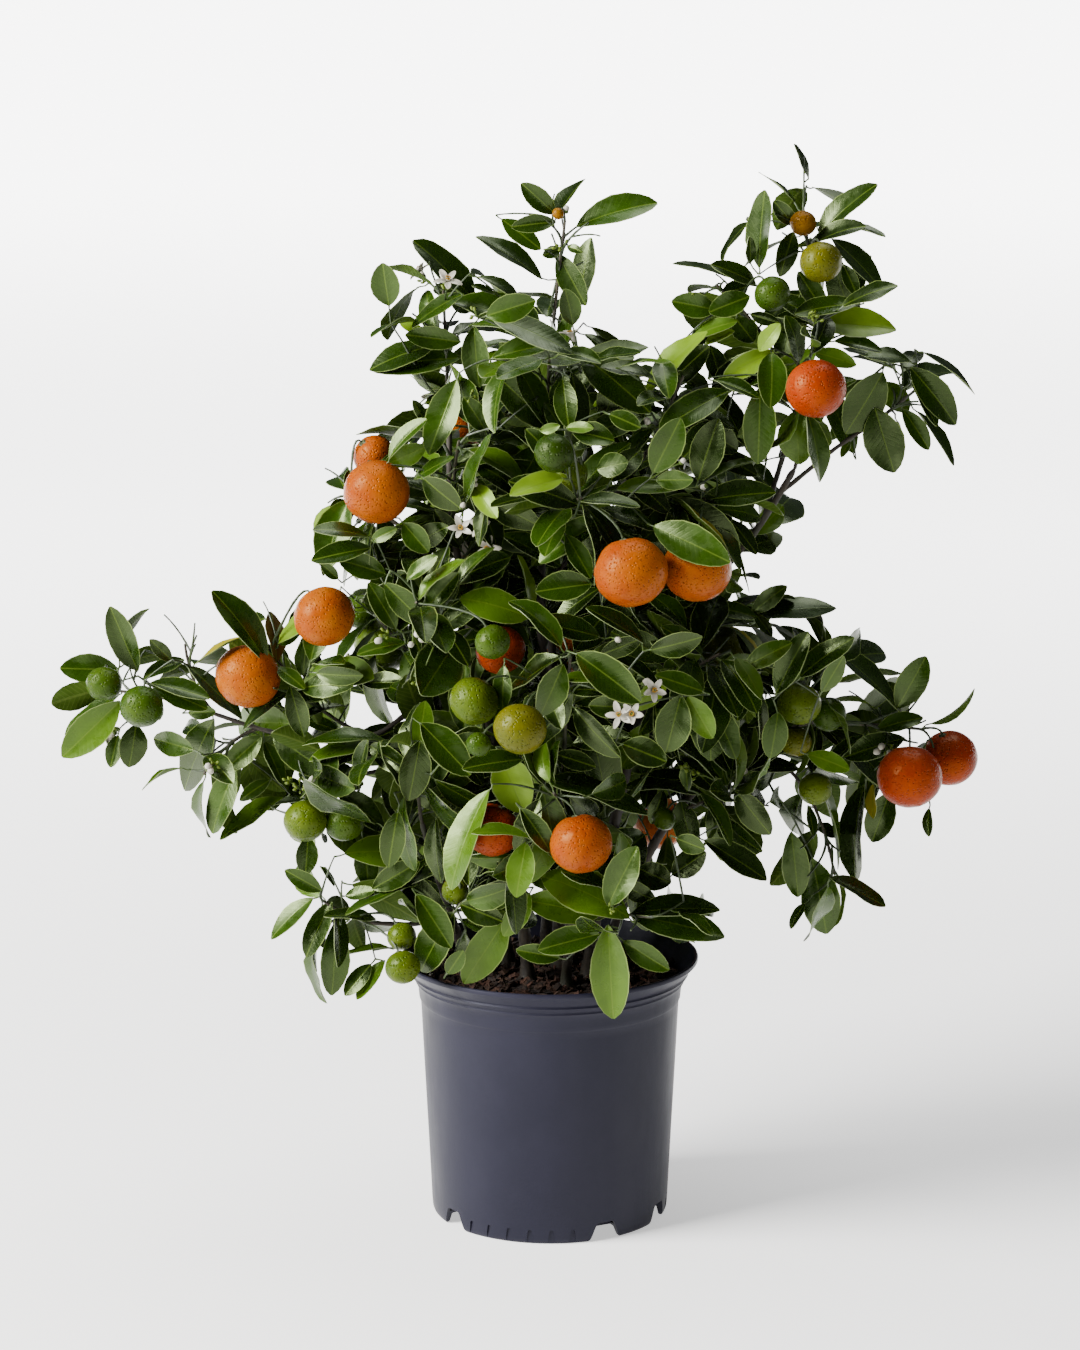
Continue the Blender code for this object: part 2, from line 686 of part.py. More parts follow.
class Taken:
    """The shapes that are already in place, for telling whether a new one would touch them."""

    def __init__(self):
        self.shapes = []

    @staticmethod
    def bounds(bm):
        low = Vector(min(v.co[i] for v in bm.verts) for i in range(3))
        high = Vector(max(v.co[i] for v in bm.verts) for i in range(3))
        return low, high

    def add(self, bm, owner):
        low, high = self.bounds(bm)
        self.shapes.append((low, high, BVHTree.FromBMesh(bm), owner))
        bm.free()

    def add_object(self, obj):
        bm = bmesh.new()
        bm.from_mesh(obj.data)
        self.add(bm, obj.name)

    def free(self, bm, *ignored):
        """Whether bm touches nothing but what belongs to the ignored owners. It frees bm."""
        low, high = self.bounds(bm)
        tree = BVHTree.FromBMesh(bm)
        bm.free()
        for other_low, other_high, other, owner in self.shapes:
            if owner in ignored:
                continue
            apart = (
                low.x > other_high.x or high.x < other_low.x
                or low.y > other_high.y or high.y < other_low.y
                or low.z > other_high.z or high.z < other_low.z
            )
            if not apart and tree.overlap(other):
                return False
        return True


def spread(point, mass):
    """How far out a point lies in a mass's space, 1 being its edge."""
    offset = point - Vector(mass["centre"])
    return Vector(offset[i] / mass["radii"][i] for i in range(3)).length


def in_own_space(point, name):
    own = spread(point, MASSES[name])
    if own > SPACE_REACH:
        return False
    others = [mass for other, mass in MASSES.items() if other != name]
    return all(own < spread(point, mass) + SPACE_SLACK for mass in others)


def sideways(direction, angle):
    """A unit vector square to direction, turned by angle about it."""
    base = direction.cross(UP if abs(direction.z) < 0.9 else Vector((1, 0, 0))).normalized()
    return Matrix.Rotation(angle, 3, direction) @ base


def grow_sprig(name, paths, rng, taken):
    """The mass's own stem, from its limb through the middle of its space."""
    mass = MASSES[name]
    limb = paths[mass["limb"]]
    start, direction = point_at(limb, mass["along"])
    centre = Vector(mass["centre"])
    if mass["along"] == 1.0:
        start = start + direction * CLEAR
    outward = (centre - start).normalized()
    for attempt in range(4 * TRIES):
        wander = Vector(rng.uniform(-1, 1) for _ in range(3)) * 0.002 * attempt
        end = centre + outward * min(mass["radii"]) * 0.42 + wander
        control = start + (direction + outward * 1.4).normalized() * (end - start).length * 0.45
        path = bent_path(start, control + wander * 1.5, end, 3)
        if mass["along"] == 1.0:
            path[0:1] = [start, start + direction * 0.003]
        if taken.free(tube(path, SPRIG_RADII, grown=ROOM), mass["limb"]):
            break
    else:
        print("no free way for the stem of", name)
    return path


def grow_stalk(name, sprig, ball, radius, taken):
    """A straight stalk from the mass's stem into the top of a fruit, as short as finds a free way."""
    shares = sorted(STALK_SHARES, key=lambda share: (point_at(sprig, share)[0] - ball).length)
    stalks = []
    for share in shares:
        start, _ = point_at(sprig, share)
        top = ball + UP * radius * 0.45 + (start - ball).normalized() * radius * 0.15
        stalks.append([start, top])
        if taken.free(tube(stalks[-1], STALK_RADII, grown=ROOM), name + "/twig", name + "/fruit"):
            return stalks[-1]
    print("no free way for a stalk of", name)
    return stalks[0]


def grow_shoot(name, sprig, end, rng, taken, radii):
    """A shoot that leaves the mass's stem at a forward angle and curves to end, or None."""
    best = None
    for share in (0.35, 0.5, 0.62, 0.74, 0.86):
        start, direction = point_at(sprig, share)
        angle = direction.angle(end - start, 0.0)
        worth = abs(angle - 0.8) + rng.uniform(0, 0.25)
        if best is None or worth < best[0]:
            best = (worth, start, direction)
    _, start, direction = best
    control = start + direction * (end - start).length * 0.4
    path = bent_path(start, control, end, 2)
    return path if taken.free(tube(path, radii, grown=ROOM), name + "/twig") else None


def leaf_way(point, direction, turn, at_tip, centre, crown_way, rng):
    """Where a leaf points and faces: outward and up, with its blade turned to show its face."""
    side = sideways(direction, turn)
    lean = rng.uniform(0.2, 0.8) if at_tip else rng.uniform(0.7, 1.4)
    along = direction * math.cos(lean) + side * math.sin(lean)
    way = (point + along * 0.02 - centre).normalized() * 0.7 + crown_way * 0.8
    facing = UP * rng.uniform(0.2, 0.9) + way
    facing += Vector(rng.uniform(-1, 1) for _ in range(3)) * 0.5
    facing.normalize()
    along -= facing * along.dot(facing) * rng.uniform(0.3, 1.0)
    along.z -= rng.uniform(-0.1, 0.35)
    along.normalize()
    return along, (facing - along * facing.dot(along)).normalized()


def grow_leaves(name, twig, first, rng, taken, blades):
    """Leaves along a twig by the golden angle. Each takes the emptiest of the ways tried for it."""
    mass = MASSES[name]
    centre = Vector(mass["centre"])
    crown_way = (centre - CROWN_MIDDLE).normalized()
    count = max(1, round((1 - first) * path_length(twig) / mass.get("leaf_step", LEAF_STEP)))
    places = [(first + (1 - first) * i / count, False) for i in range(count)]
    places += [(1.0 - 0.04 * i, True) for i in range(mass.get("tip_leaves", TIP_LEAVES))]
    turn = rng.uniform(0, 6.28)
    own = (name, name + "/twig", name + "/leaf", name + "/fruit")
    made = []
    for share, at_tip in places:
        turn += GOLDEN_ANGLE
        point, direction = point_at(twig, min(share, 0.99))
        best = None
        for _ in range(TRIES):
            bearing = turn + rng.uniform(-1.2, 1.2)
            along, normal = leaf_way(point, direction, bearing, at_tip, centre, crown_way, rng)
            size = rng.uniform(*LEAF_LENGTHS)
            droop = rng.uniform(0.02, 0.20)
            fold = rng.uniform(0.10, 0.40)
            root = point - along * ROOT_SINK
            middle = root + along * size * 0.55 - normal * droop * size * 0.5
            tip = root + along * size * 0.97 - normal * droop * size
            if not (in_own_space(middle, name) and in_own_space(tip, name)):
                continue
            room = min(((middle - other).length for other in blades), default=1.0)
            if best and room < best[0]:
                continue
            whole = [root, along, normal, size, droop, fold]
            blade = [root + along * size * 0.12, along, normal, size * 0.88, droop, fold]
            if taken.free(leaf(*blade, grown=ROOM), name) and taken.free(leaf(*whole, grown=ROOM), *own):
                best = (room, middle, blade, whole)
        if best:
            taken.add(leaf(*best[2], grown=ROOM), name + "/leaf")
            taken.add(leaf(*best[3], grown=ROOM), name)
            blades.append(best[1])
            made.append(leaf(*best[3]))
    return made


def reserve_fruit(taken):
    """Every fruit's place is kept free before anything grows."""
    for name, mass in MASSES.items():
        for x, y, z, radius, _ in mass.get("fruit", []):
            taken.add(fruit_ball(Vector((x, y, z)), radius + ROOM), name + "/fruit")


def grow_twigs(name, index, paths, taken):
    """The stem, fruit stalks and shoots of a mass, as (path, radii, share where leaves begin)."""
    rng = random.Random(SEED * 1000 + index)
    mass = MASSES[name]
    centre = Vector(mass["centre"])
    sprig = grow_sprig(name, paths, rng, taken)
    twigs = [(sprig, SPRIG_RADII, 0.4)]
    taken.add(tube(sprig, SPRIG_RADII, grown=ROOM), name + "/twig")
    for x, y, z, radius, _ in mass.get("fruit", []):
        stalk = grow_stalk(name, sprig, Vector((x, y, z)), radius, taken)
        twigs.append((stalk, STALK_RADII, None))
        taken.add(tube(stalk, STALK_RADII, grown=ROOM), name + "/twig")
    turn = rng.uniform(0, 6.28)
    wanted = mass["shoots"]
    for i in range(wanted):
        height = 1 - 2 * (i + 0.5) / wanted
        for attempt in range(TRIES):
            bearing = turn + GOLDEN_ANGLE * i + rng.uniform(-0.6, 0.6) * (attempt + 0.3)
            level = math.sqrt(max(0.0, 1 - height * height))
            way = Vector((math.cos(bearing) * level, math.sin(bearing) * level, height))
            way = way.lerp((centre - sprig[0]).normalized(), 0.3)
            end = centre + Vector(way[k] * mass["radii"][k] * rng.uniform(0.42, 0.62) for k in range(3))
            shoot = grow_shoot(name, sprig, end, rng, taken, SHOOT_RADII)
            if shoot:
                twigs.append((shoot, SHOOT_RADII, 0.3))
                taken.add(tube(shoot, SHOOT_RADII, grown=ROOM), name + "/twig")
                break
    return twigs


def fuse(name, pieces, collection, cutters, material):
    """One object of all the pieces, joined by a single union."""
    group = make_collection(name + "_pieces", cutters)
    body = add_object(name, mesh_from(pieces[0].copy(), name), collection, material)
    for i, piece in enumerate(pieces[1:]):
        add_object(f"{name}_piece_{i}", mesh_from(piece.copy(), name), group)
    apply_boolean(body, "UNION", collection=group, solver="MANIFOLD")
    bpy.data.collections.remove(group)
    return body


def is_closed(bm):
    return all(edge.is_manifold and edge.is_contiguous for edge in bm.edges)


def is_sound(mesh, placed):
    """Whether the mesh is one closed surface, also with its closest points welded, and free."""
    bm = bmesh.new()
    bm.from_mesh(mesh)
    sound = len(shells(bm)) == 1 and is_closed(bm)
    bmesh.ops.remove_doubles(bm, verts=bm.verts, dist=WELD)
    sound = sound and is_closed(bm)
    return placed.free(bm) and sound


def thin_out(obj, placed):
    """Collapses the slivers that the joints left, as far as the surface stays sound, or is False."""
    thin = obj.modifiers.new("thin", "DECIMATE")
    thin.use_collapse_triangulate = True
    split = obj.modifiers.new("split", "TRIANGULATE")
    for share, split.ngon_method in itertools.product(THIN_SHARES, ("BEAUTY", "CLIP")):
        thin.ratio = share
        graph = bpy.context.evaluated_depsgraph_get()
        mesh = bpy.data.meshes.new_from_object(obj.evaluated_get(graph))
        if is_sound(mesh, placed):
            break
    else:
        return False
    obj.modifiers.clear()
    obj.data = mesh
    return True


def build_mass(name, pieces, leaves, placed, paths, collection, cutters, material):
    """The mass as one solid, clear of its limb. When its joints go wrong it gets fewer leaves."""
    mass = MASSES[name]
    while True:
        body = fuse(name, pieces + leaves, collection, cutters, material)
        if mass["along"] < 1.0:
            shape = limb_mesh(mass["limb"], paths[mass["limb"]], grown=CLEAR)
            cutter = add_object("cutter", shape, cutters)
            apply_boolean(body, "DIFFERENCE", cutter=cutter, solver="MANIFOLD")
        keep_main_shell(body)
        if thin_out(body, placed):
            placed.add_object(body)
            return
        print(name, "is tried again with one leaf fewer")
        bpy.data.objects.remove(body, do_unlink=True)
        leaves.pop()


def build_foliage(paths, collection, cutters, materials):
    taken = Taken()
    for name, path in paths.items():
        taken.add(tube(path, LIMBS[name]["radii"], sides=6, grown=ROOM), name)
    pot = [Vector((0, 0, 0.02)), Vector((0, 0, POT_HEIGHT))]
    taken.add(tube(pot, (RIM_RADIUS, RIM_RADIUS), sides=32, grown=0.002), "pot")
    reserve_fruit(taken)
    grown = {name: grow_twigs(name, i, paths, taken) for i, name in enumerate(MASSES)}
    counts = {}
    blades = []
    placed = Taken()
    for name in paths:
        placed.add_object(bpy.data.objects[name])
    for index, (name, twigs) in enumerate(grown.items()):
        rng = random.Random(SEED * 2000 + index)
        pieces = [tube(twig, radii) for twig, radii, _ in twigs]
        for x, y, z, radius, _ in MASSES[name].get("fruit", []):
            pieces.append(fruit_ball(Vector((x, y, z)), radius))
        leaves = []
        for twig, _, first in twigs:
            if first is not None:
                leaves += grow_leaves(name, twig, first, rng, taken, blades)
        build_mass(name, pieces, leaves, placed, paths, collection, cutters, materials["leaf"])
        counts[name] = len(leaves)
    print(sum(counts.values()), "leaves:", counts)


def main():
    clear_scene()
    tree = make_collection("calamondin_tree", bpy.context.scene.collection)
    cutters = make_collection("cutters", bpy.context.scene.collection)
    materials = {
        "pot": make_material("pot_plastic", (0.075, 0.078, 0.105), 0.42),
        "soil": make_material("potting_bark", (0.055, 0.030, 0.018), 0.95),
        "bark": make_material("green_brown_bark", (0.105, 0.085, 0.050), 0.80),
        "leaf": make_material("glossy_leaf", (0.045, 0.125, 0.022), 0.35),
    }
    build_pot(tree, cutters, materials)
    paths = limb_paths()
    build_limbs(paths, tree, cutters, materials)
    build_foliage(paths, tree, cutters, materials)


main()
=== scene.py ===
# Calamondin orange tree in its nursery pot: the finish of every surface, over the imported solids
import json
import math
import random

import bmesh
import bpy
import numpy as np
from mathutils import Matrix, Vector, noise
from mathutils.bvhtree import BVHTree

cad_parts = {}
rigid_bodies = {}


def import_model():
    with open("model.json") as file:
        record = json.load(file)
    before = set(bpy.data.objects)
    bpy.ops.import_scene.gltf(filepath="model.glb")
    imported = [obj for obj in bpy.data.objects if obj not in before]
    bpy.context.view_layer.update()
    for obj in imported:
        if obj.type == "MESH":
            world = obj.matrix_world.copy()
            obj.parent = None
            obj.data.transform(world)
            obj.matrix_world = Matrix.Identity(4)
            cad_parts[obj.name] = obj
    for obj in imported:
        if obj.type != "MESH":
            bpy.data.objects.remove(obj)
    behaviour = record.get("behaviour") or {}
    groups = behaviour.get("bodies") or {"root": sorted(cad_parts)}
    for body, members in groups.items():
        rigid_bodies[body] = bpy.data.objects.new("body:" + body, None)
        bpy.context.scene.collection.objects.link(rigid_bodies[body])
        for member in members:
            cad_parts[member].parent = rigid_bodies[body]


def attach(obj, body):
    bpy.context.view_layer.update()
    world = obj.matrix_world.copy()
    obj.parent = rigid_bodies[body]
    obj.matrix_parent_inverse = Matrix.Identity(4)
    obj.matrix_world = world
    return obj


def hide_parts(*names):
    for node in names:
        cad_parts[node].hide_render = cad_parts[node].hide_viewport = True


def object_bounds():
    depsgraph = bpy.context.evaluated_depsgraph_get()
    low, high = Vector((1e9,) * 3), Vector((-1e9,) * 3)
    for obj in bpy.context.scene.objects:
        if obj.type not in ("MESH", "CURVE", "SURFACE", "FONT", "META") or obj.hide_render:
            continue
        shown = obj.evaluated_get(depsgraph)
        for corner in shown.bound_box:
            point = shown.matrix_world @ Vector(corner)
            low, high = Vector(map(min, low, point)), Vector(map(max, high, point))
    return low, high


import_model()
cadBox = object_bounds()
up = Vector((0, 0, 1))

# the photograph is taken from the front and a little above; a pixel is 0.6 mm at the plant
photoView = {
    "target": Vector((-0.006, 0.0, 0.334)),
    "distance": 2.475,
    "elevation": math.radians(12.1),
    "lens": 110.0,
    "film": 36.0,
    "pixel": 0.0006,
    "width": 1080,
    "height": 1350,
}


def cameraPlace():
    tilt = photoView["elevation"]
    back = Vector((0, -math.cos(tilt), math.sin(tilt)))
    return photoView["target"] + back * photoView["distance"]


def makeCamera():
    data = bpy.data.cameras.new("camera")
    data.lens = photoView["lens"]
    camera = bpy.data.objects.new("camera", data)
    camera.location = cameraPlace()
    camera.rotation_euler = (math.pi / 2 - photoView["elevation"], 0, 0)
    bpy.context.scene.collection.objects.link(camera)
    bpy.context.scene.camera = camera


def photoAxes():
    # ahead and up as the camera sees them, and its focal length in pixels
    tilt = photoView["elevation"]
    ahead = Vector((0, math.cos(tilt), -math.sin(tilt)))
    rise = Vector((0, math.sin(tilt), math.cos(tilt)))
    return ahead, rise, photoView["lens"] / photoView["film"] * photoView["height"]


def fromPhoto(u, v, depth):
    # the place at this depth (its y) that the photograph shows at pixel (u, v)
    ray, rise, focal = photoAxes()
    ray += Vector((1, 0, 0)) * (u - photoView["width"] / 2) / focal
    ray += rise * (photoView["height"] / 2 - v) / focal
    place = cameraPlace()
    return place + ray * (depth - place.y) / ray.y


def toPhoto(point):
    # the pixel of the photograph at which a place shows
    ahead, rise, focal = photoAxes()
    offset = point - cameraPlace()
    away = offset.dot(ahead)
    return (
        photoView["width"] / 2 + offset.x / away * focal,
        photoView["height"] / 2 - offset.dot(rise) / away * focal,
    )


makeCamera()
print("camera placed")


def newObject(name, mesh, materials=()):
    obj = bpy.data.objects.new(name, mesh)
    bpy.context.scene.collection.objects.link(obj)
    for material in materials:
        mesh.materials.append(material)
    return obj


def meshFrom(bm, name):
    mesh = bpy.data.meshes.new(name)
    bm.to_mesh(mesh)
    bm.free()
    return mesh


def templateOf(bm):
    # the places and faces of a small form that is copied many times
    places = np.array([tuple(vertex.co) for vertex in bm.verts])
    faces = [tuple(vertex.index for vertex in face.verts) for face in bm.faces]
    bm.free()
    return places, faces


def copiedFaces(faces, size, count):
    return [tuple(corner + size * i for corner in face) for i in range(count) for face in faces]


def finishPiece(obj, slotName, *nodes):
    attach(obj, "root")
    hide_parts(*nodes)


def smoothShade(mesh, angle=None):
    mesh.shade_smooth()
    if angle:
        mesh.set_sharp_from_angle(angle=math.radians(angle))


def scattered(rng):
    return Vector(rng.uniform(-1, 1) for _ in range(3))


def newMaterial(name, colour, roughness):
    material = bpy.data.materials.new(name)
    material.use_nodes = True
    shader = material.node_tree.nodes["Principled BSDF"]
    shader.inputs["Base Color"].default_value = (*colour, 1.0)
    shader.inputs["Roughness"].default_value = roughness
    return material, shader


def setSheen(shader, level, tint):
    shader.inputs["Specular IOR Level"].default_value = level
    shader.inputs["Specular Tint"].default_value = (*tint, 1.0)


class nodeMaker:
    # short calls for the shader nodes of one material
    def __init__(self, material):
        self.tree = material.node_tree

    def put(self, target, value):
        if isinstance(value, bpy.types.NodeSocket):
            self.tree.links.new(value, target)
        elif isinstance(value, tuple):
            target.default_value = (*value, 1.0)
        else:
            target.default_value = value

    def maths(self, operation, a, b=0.0):
        node = self.tree.nodes.new("ShaderNodeMath")
        node.operation = operation
        self.put(node.inputs[0], a)
        self.put(node.inputs[1], b)
        return node.outputs[0]

    def ramp(self, value, low, high, start=0.0, end=1.0):
        node = self.tree.nodes.new("ShaderNodeMapRange")
        node.interpolation_type = "SMOOTHSTEP"
        for name, given in (("Value", value), ("From Min", low), ("From Max", high)):
            self.put(node.inputs[name], given)
        self.put(node.inputs["To Min"], start)
        self.put(node.inputs["To Max"], end)
        return node.outputs[0]

    def mix(self, share, a, b):
        node = self.tree.nodes.new("ShaderNodeMix")
        node.data_type = "RGBA"
        self.put(node.inputs[0], share)
        self.put(node.inputs[6], a)
        self.put(node.inputs[7], b)
        return node.outputs[2]

    def place(self, stretch=None):
        place = self.tree.nodes.new("ShaderNodeTexCoord").outputs["Object"]
        if stretch:
            mapping = self.tree.nodes.new("ShaderNodeMapping")
            mapping.inputs["Scale"].default_value = stretch
            self.tree.links.new(place, mapping.inputs["Vector"])
            place = mapping.outputs["Vector"]
        return place

    def speckle(self, scale, detail=3.0, rough=0.55, stretch=None):
        node = self.tree.nodes.new("ShaderNodeTexNoise")
        node.inputs["Scale"].default_value = scale
        node.inputs["Detail"].default_value = detail
        node.inputs["Roughness"].default_value = rough
        self.tree.links.new(self.place(stretch), node.inputs["Vector"])
        return node.outputs[0]

    def cells(self, scale):
        node = self.tree.nodes.new("ShaderNodeTexVoronoi")
        node.inputs["Scale"].default_value = scale
        self.tree.links.new(self.place(), node.inputs["Vector"])
        return node.outputs["Distance"]

    def uvParts(self, mapName):
        node = self.tree.nodes.new("ShaderNodeUVMap")
        node.uv_map = mapName
        parts = self.tree.nodes.new("ShaderNodeSeparateXYZ")
        self.tree.links.new(node.outputs["UV"], parts.inputs[0])
        return parts.outputs[0], parts.outputs[1]

    def bump(self, height, strength, distance):
        node = self.tree.nodes.new("ShaderNodeBump")
        node.inputs["Strength"].default_value = strength
        node.inputs["Distance"].default_value = distance
        self.tree.links.new(height, node.inputs["Height"])
        self.drive("Normal", node.outputs["Normal"])

    def drive(self, socket, value):
        self.tree.links.new(value, self.tree.nodes["Principled BSDF"].inputs[socket])


# Pot: radii and heights in millimetres, down the outer side from the rim
potShape = {
    "outer": [
        (88.3, 160.7), (89.2, 161.0), (90.0, 160.5), (90.3, 159.6), (90.2, 158.4), (89.3, 157.3),
        (87.4, 155.4), (85.5, 153.2), (84.2, 151.5), (84.3, 150.9), (84.6, 150.3), (84.2, 149.6),
        (82.9, 148.4), (81.9, 147.1), (81.9, 146.5), (82.1, 145.9), (81.7, 145.2), (80.8, 143.8),
        (80.2, 141.0), (79.8, 137.5), (79.6, 135.4), (79.2, 134.5), (78.7, 133.6), (78.4, 129.0),
        (76.9, 98.0), (75.2, 64.0), (73.6, 32.0), (72.9, 18.0), (72.5, 9.0), (72.2, 4.0),
        (71.9, 2.0), (71.4, 0.8), (70.6, 0.1), (69.9, 0.0),
    ],
    "inner": [
        (69.2, 0.2), (68.9, 1.0), (68.7, 3.5), (68.4, 6.0), (67.6, 6.5), (52.0, 6.5), (50.3, 6.2),
        (49.4, 5.0), (47.0, 0.9), (45.6, 0.0), (20.0, 0.0), (0.0, 0.0),
    ],
    "inside": [
        (0.0, 2.0), (44.0, 2.0), (47.0, 4.5), (49.2, 8.3), (70.5, 8.4), (71.2, 12.0), (73.6, 64.0),
        (76.9, 132.0), (78.6, 142.0), (80.1, 147.5), (82.6, 150.6), (84.6, 153.6), (86.6, 156.8),
        (87.6, 158.8),
    ],
    "steps": 252,
    "archHeight": 11.6,
    "archWidths": (12.5, 21.5),
    "archRadius": 72,
    "archDepth": 8,
    "archAngles": [start + third for third in (0, 120, 240) for start in (27.5, 66.0)],
    "slotHeight": 9.0,
    "slotWidths": (2.5, 5.0),
    "slotRadius": 72.3,
    "slotDepth": 0.9,
    "slotAngles": [third + 10.3 * k - 40.5 for third in (0, 120, 240) for k in range(6)],
}


def potPlastic():
    material, shader = newMaterial("potPlastic", (0.022, 0.021, 0.032), 0.46)
    nodes = nodeMaker(material)
    cloud = nodes.speckle(14.0, 4.0)
    grain = nodes.speckle(900.0, 2.0)
    scuff = nodes.speckle(60.0, 6.0, 0.7, (1.0, 1.0, 0.15))
    colour = nodes.mix(nodes.ramp(cloud, 0.3, 0.7), (0.0080, 0.0078, 0.0150), (0.0115, 0.0110, 0.0200))
    colour = nodes.mix(nodes.ramp(scuff, 0.62, 0.80, 0.0, 0.30), colour, (0.040, 0.040, 0.052))
    nodes.drive("Base Color", colour)
    nodes.drive("Roughness", nodes.ramp(nodes.maths("ADD", cloud, scuff), 0.7, 1.3, 0.36, 0.50))
    nodes.bump(nodes.maths("ADD", grain, nodes.maths("MULTIPLY", scuff, 0.4)), 0.12, 0.0004)
    setSheen(shader, 0.17, (0.86, 0.88, 1.0))
    return material


def archCutter(angle, widths, height, radius, depth, steps):
    # a rounded doorway, wide at the floor, that reaches in from outside the pot's foot
    bm = bmesh.new()
    bmesh.ops.create_grid(bm, x_segments=steps, y_segments=1, size=1.0)
    top, foot = (width / 2 for width in widths)
    for vertex in bm.verts:
        x = vertex.co.x
        run = abs(x) * foot
        share = min(1.0, max(0.0, (run - top * 0.75) / (foot - top * 0.75)))
        rise = height * (1 - share * share * (3 - 2 * share)) - 0.1
        vertex.co = Vector((x * foot * 1.02, -radius - 4, rise if vertex.co.y > 0 else -4))
    made = bmesh.ops.extrude_face_region(bm, geom=bm.faces[:])["geom"]
    for vertex in (item for item in made if isinstance(item, bmesh.types.BMVert)):
        vertex.co.y = -radius + depth
    bmesh.ops.transform(bm, matrix=Matrix.Rotation(math.radians(angle), 4, "Z"), verts=bm.verts)
    bmesh.ops.scale(bm, vec=(0.001, 0.001, 0.001), verts=bm.verts)
    bmesh.ops.recalc_face_normals(bm, faces=bm.faces)
    return bm


def joined(pieces, name):
    bm = bmesh.new()
    for piece in pieces:
        part = meshFrom(piece, name + "Part")
        bm.from_mesh(part)
        bpy.data.meshes.remove(part)
    return meshFrom(bm, name)


def cutAway(obj, cutterMesh):
    cutter = newObject("cutter", cutterMesh)
    modifier = obj.modifiers.new("cut", "BOOLEAN")
    modifier.operation = "DIFFERENCE"
    modifier.object = cutter
    graph = bpy.context.evaluated_depsgraph_get()
    mesh = bpy.data.meshes.new_from_object(obj.evaluated_get(graph))
    obj.modifiers.clear()
    obj.data = mesh
    bpy.data.objects.remove(cutter, do_unlink=True)


def makePot():
    bm = bmesh.new()
    profile = potShape["inside"] + potShape["outer"] + potShape["inner"]
    corners = [bm.verts.new((radius / 1000, 0, z / 1000)) for radius, z in profile]
    for first, second in zip(corners, corners[1:]):
        bm.edges.new((first, second))
    bmesh.ops.spin(
        bm, geom=bm.verts[:] + bm.edges[:], cent=(0, 0, 0), axis=(0, 0, 1),
        angle=math.tau, steps=potShape["steps"], use_merge=True,
    )
    bmesh.ops.remove_doubles(bm, verts=bm.verts, dist=0.00001)
    bmesh.ops.recalc_face_normals(bm, faces=bm.faces)
    pot = newObject("potShell", meshFrom(bm, "potShell"))
    arches, slots = (
        [
            archCutter(angle, potShape[kind + "Widths"], potShape[kind + "Height"],
                       potShape[kind + "Radius"], potShape[kind + "Depth"], steps)
            for angle in potShape[kind + "Angles"]
        ]
        for kind, steps in (("arch", 18), ("slot", 10))
    )
    cutAway(pot, joined(arches, "arches"))
    cutAway(pot, joined(slots, "slots"))
    pot.data.materials.clear()
    pot.data.materials.append(potPlastic())
    smoothShade(pot.data, 32)
    finishPiece(pot, "pot_plastic", "pot")


makePot()
print("pot made")

# Potting mix: a rough bed with bark chips strewn over it
soilPlan = {
    "top": 0.1478,
    "radius": 0.0790,
    "depth": 0.012,
    "mound": 0.0022,
    "moundReach": 0.075,
    "chips": 1500,
    "chipLengths": (0.0025, 0.0105),
    "whiteBits": 16,
    "whiteLengths": (0.0015, 0.003),
    "seed": 5,
}


def barkMix(name, dark, light, rough=0.92):
    material, _ = newMaterial(name, dark, rough)
    nodes = nodeMaker(material)
    patches = nodes.speckle(220.0, 4.0)
    fibres = nodes.speckle(500.0, 3.0, 0.6, (1.0, 0.25, 1.0))
    colour = nodes.mix(nodes.ramp(patches, 0.35, 0.68), dark, light)
    colour = nodes.mix(nodes.ramp(fibres, 0.45, 0.75, 0.0, 0.6), colour, tuple(c * 0.35 for c in dark))
    nodes.drive("Base Color", colour)
    nodes.bump(nodes.maths("ADD", patches, fibres), 0.6, 0.0006)
    return material


def moundAt(reach):
    return soilPlan["mound"] * max(0.0, 1 - (reach / soilPlan["moundReach"]) ** 2)


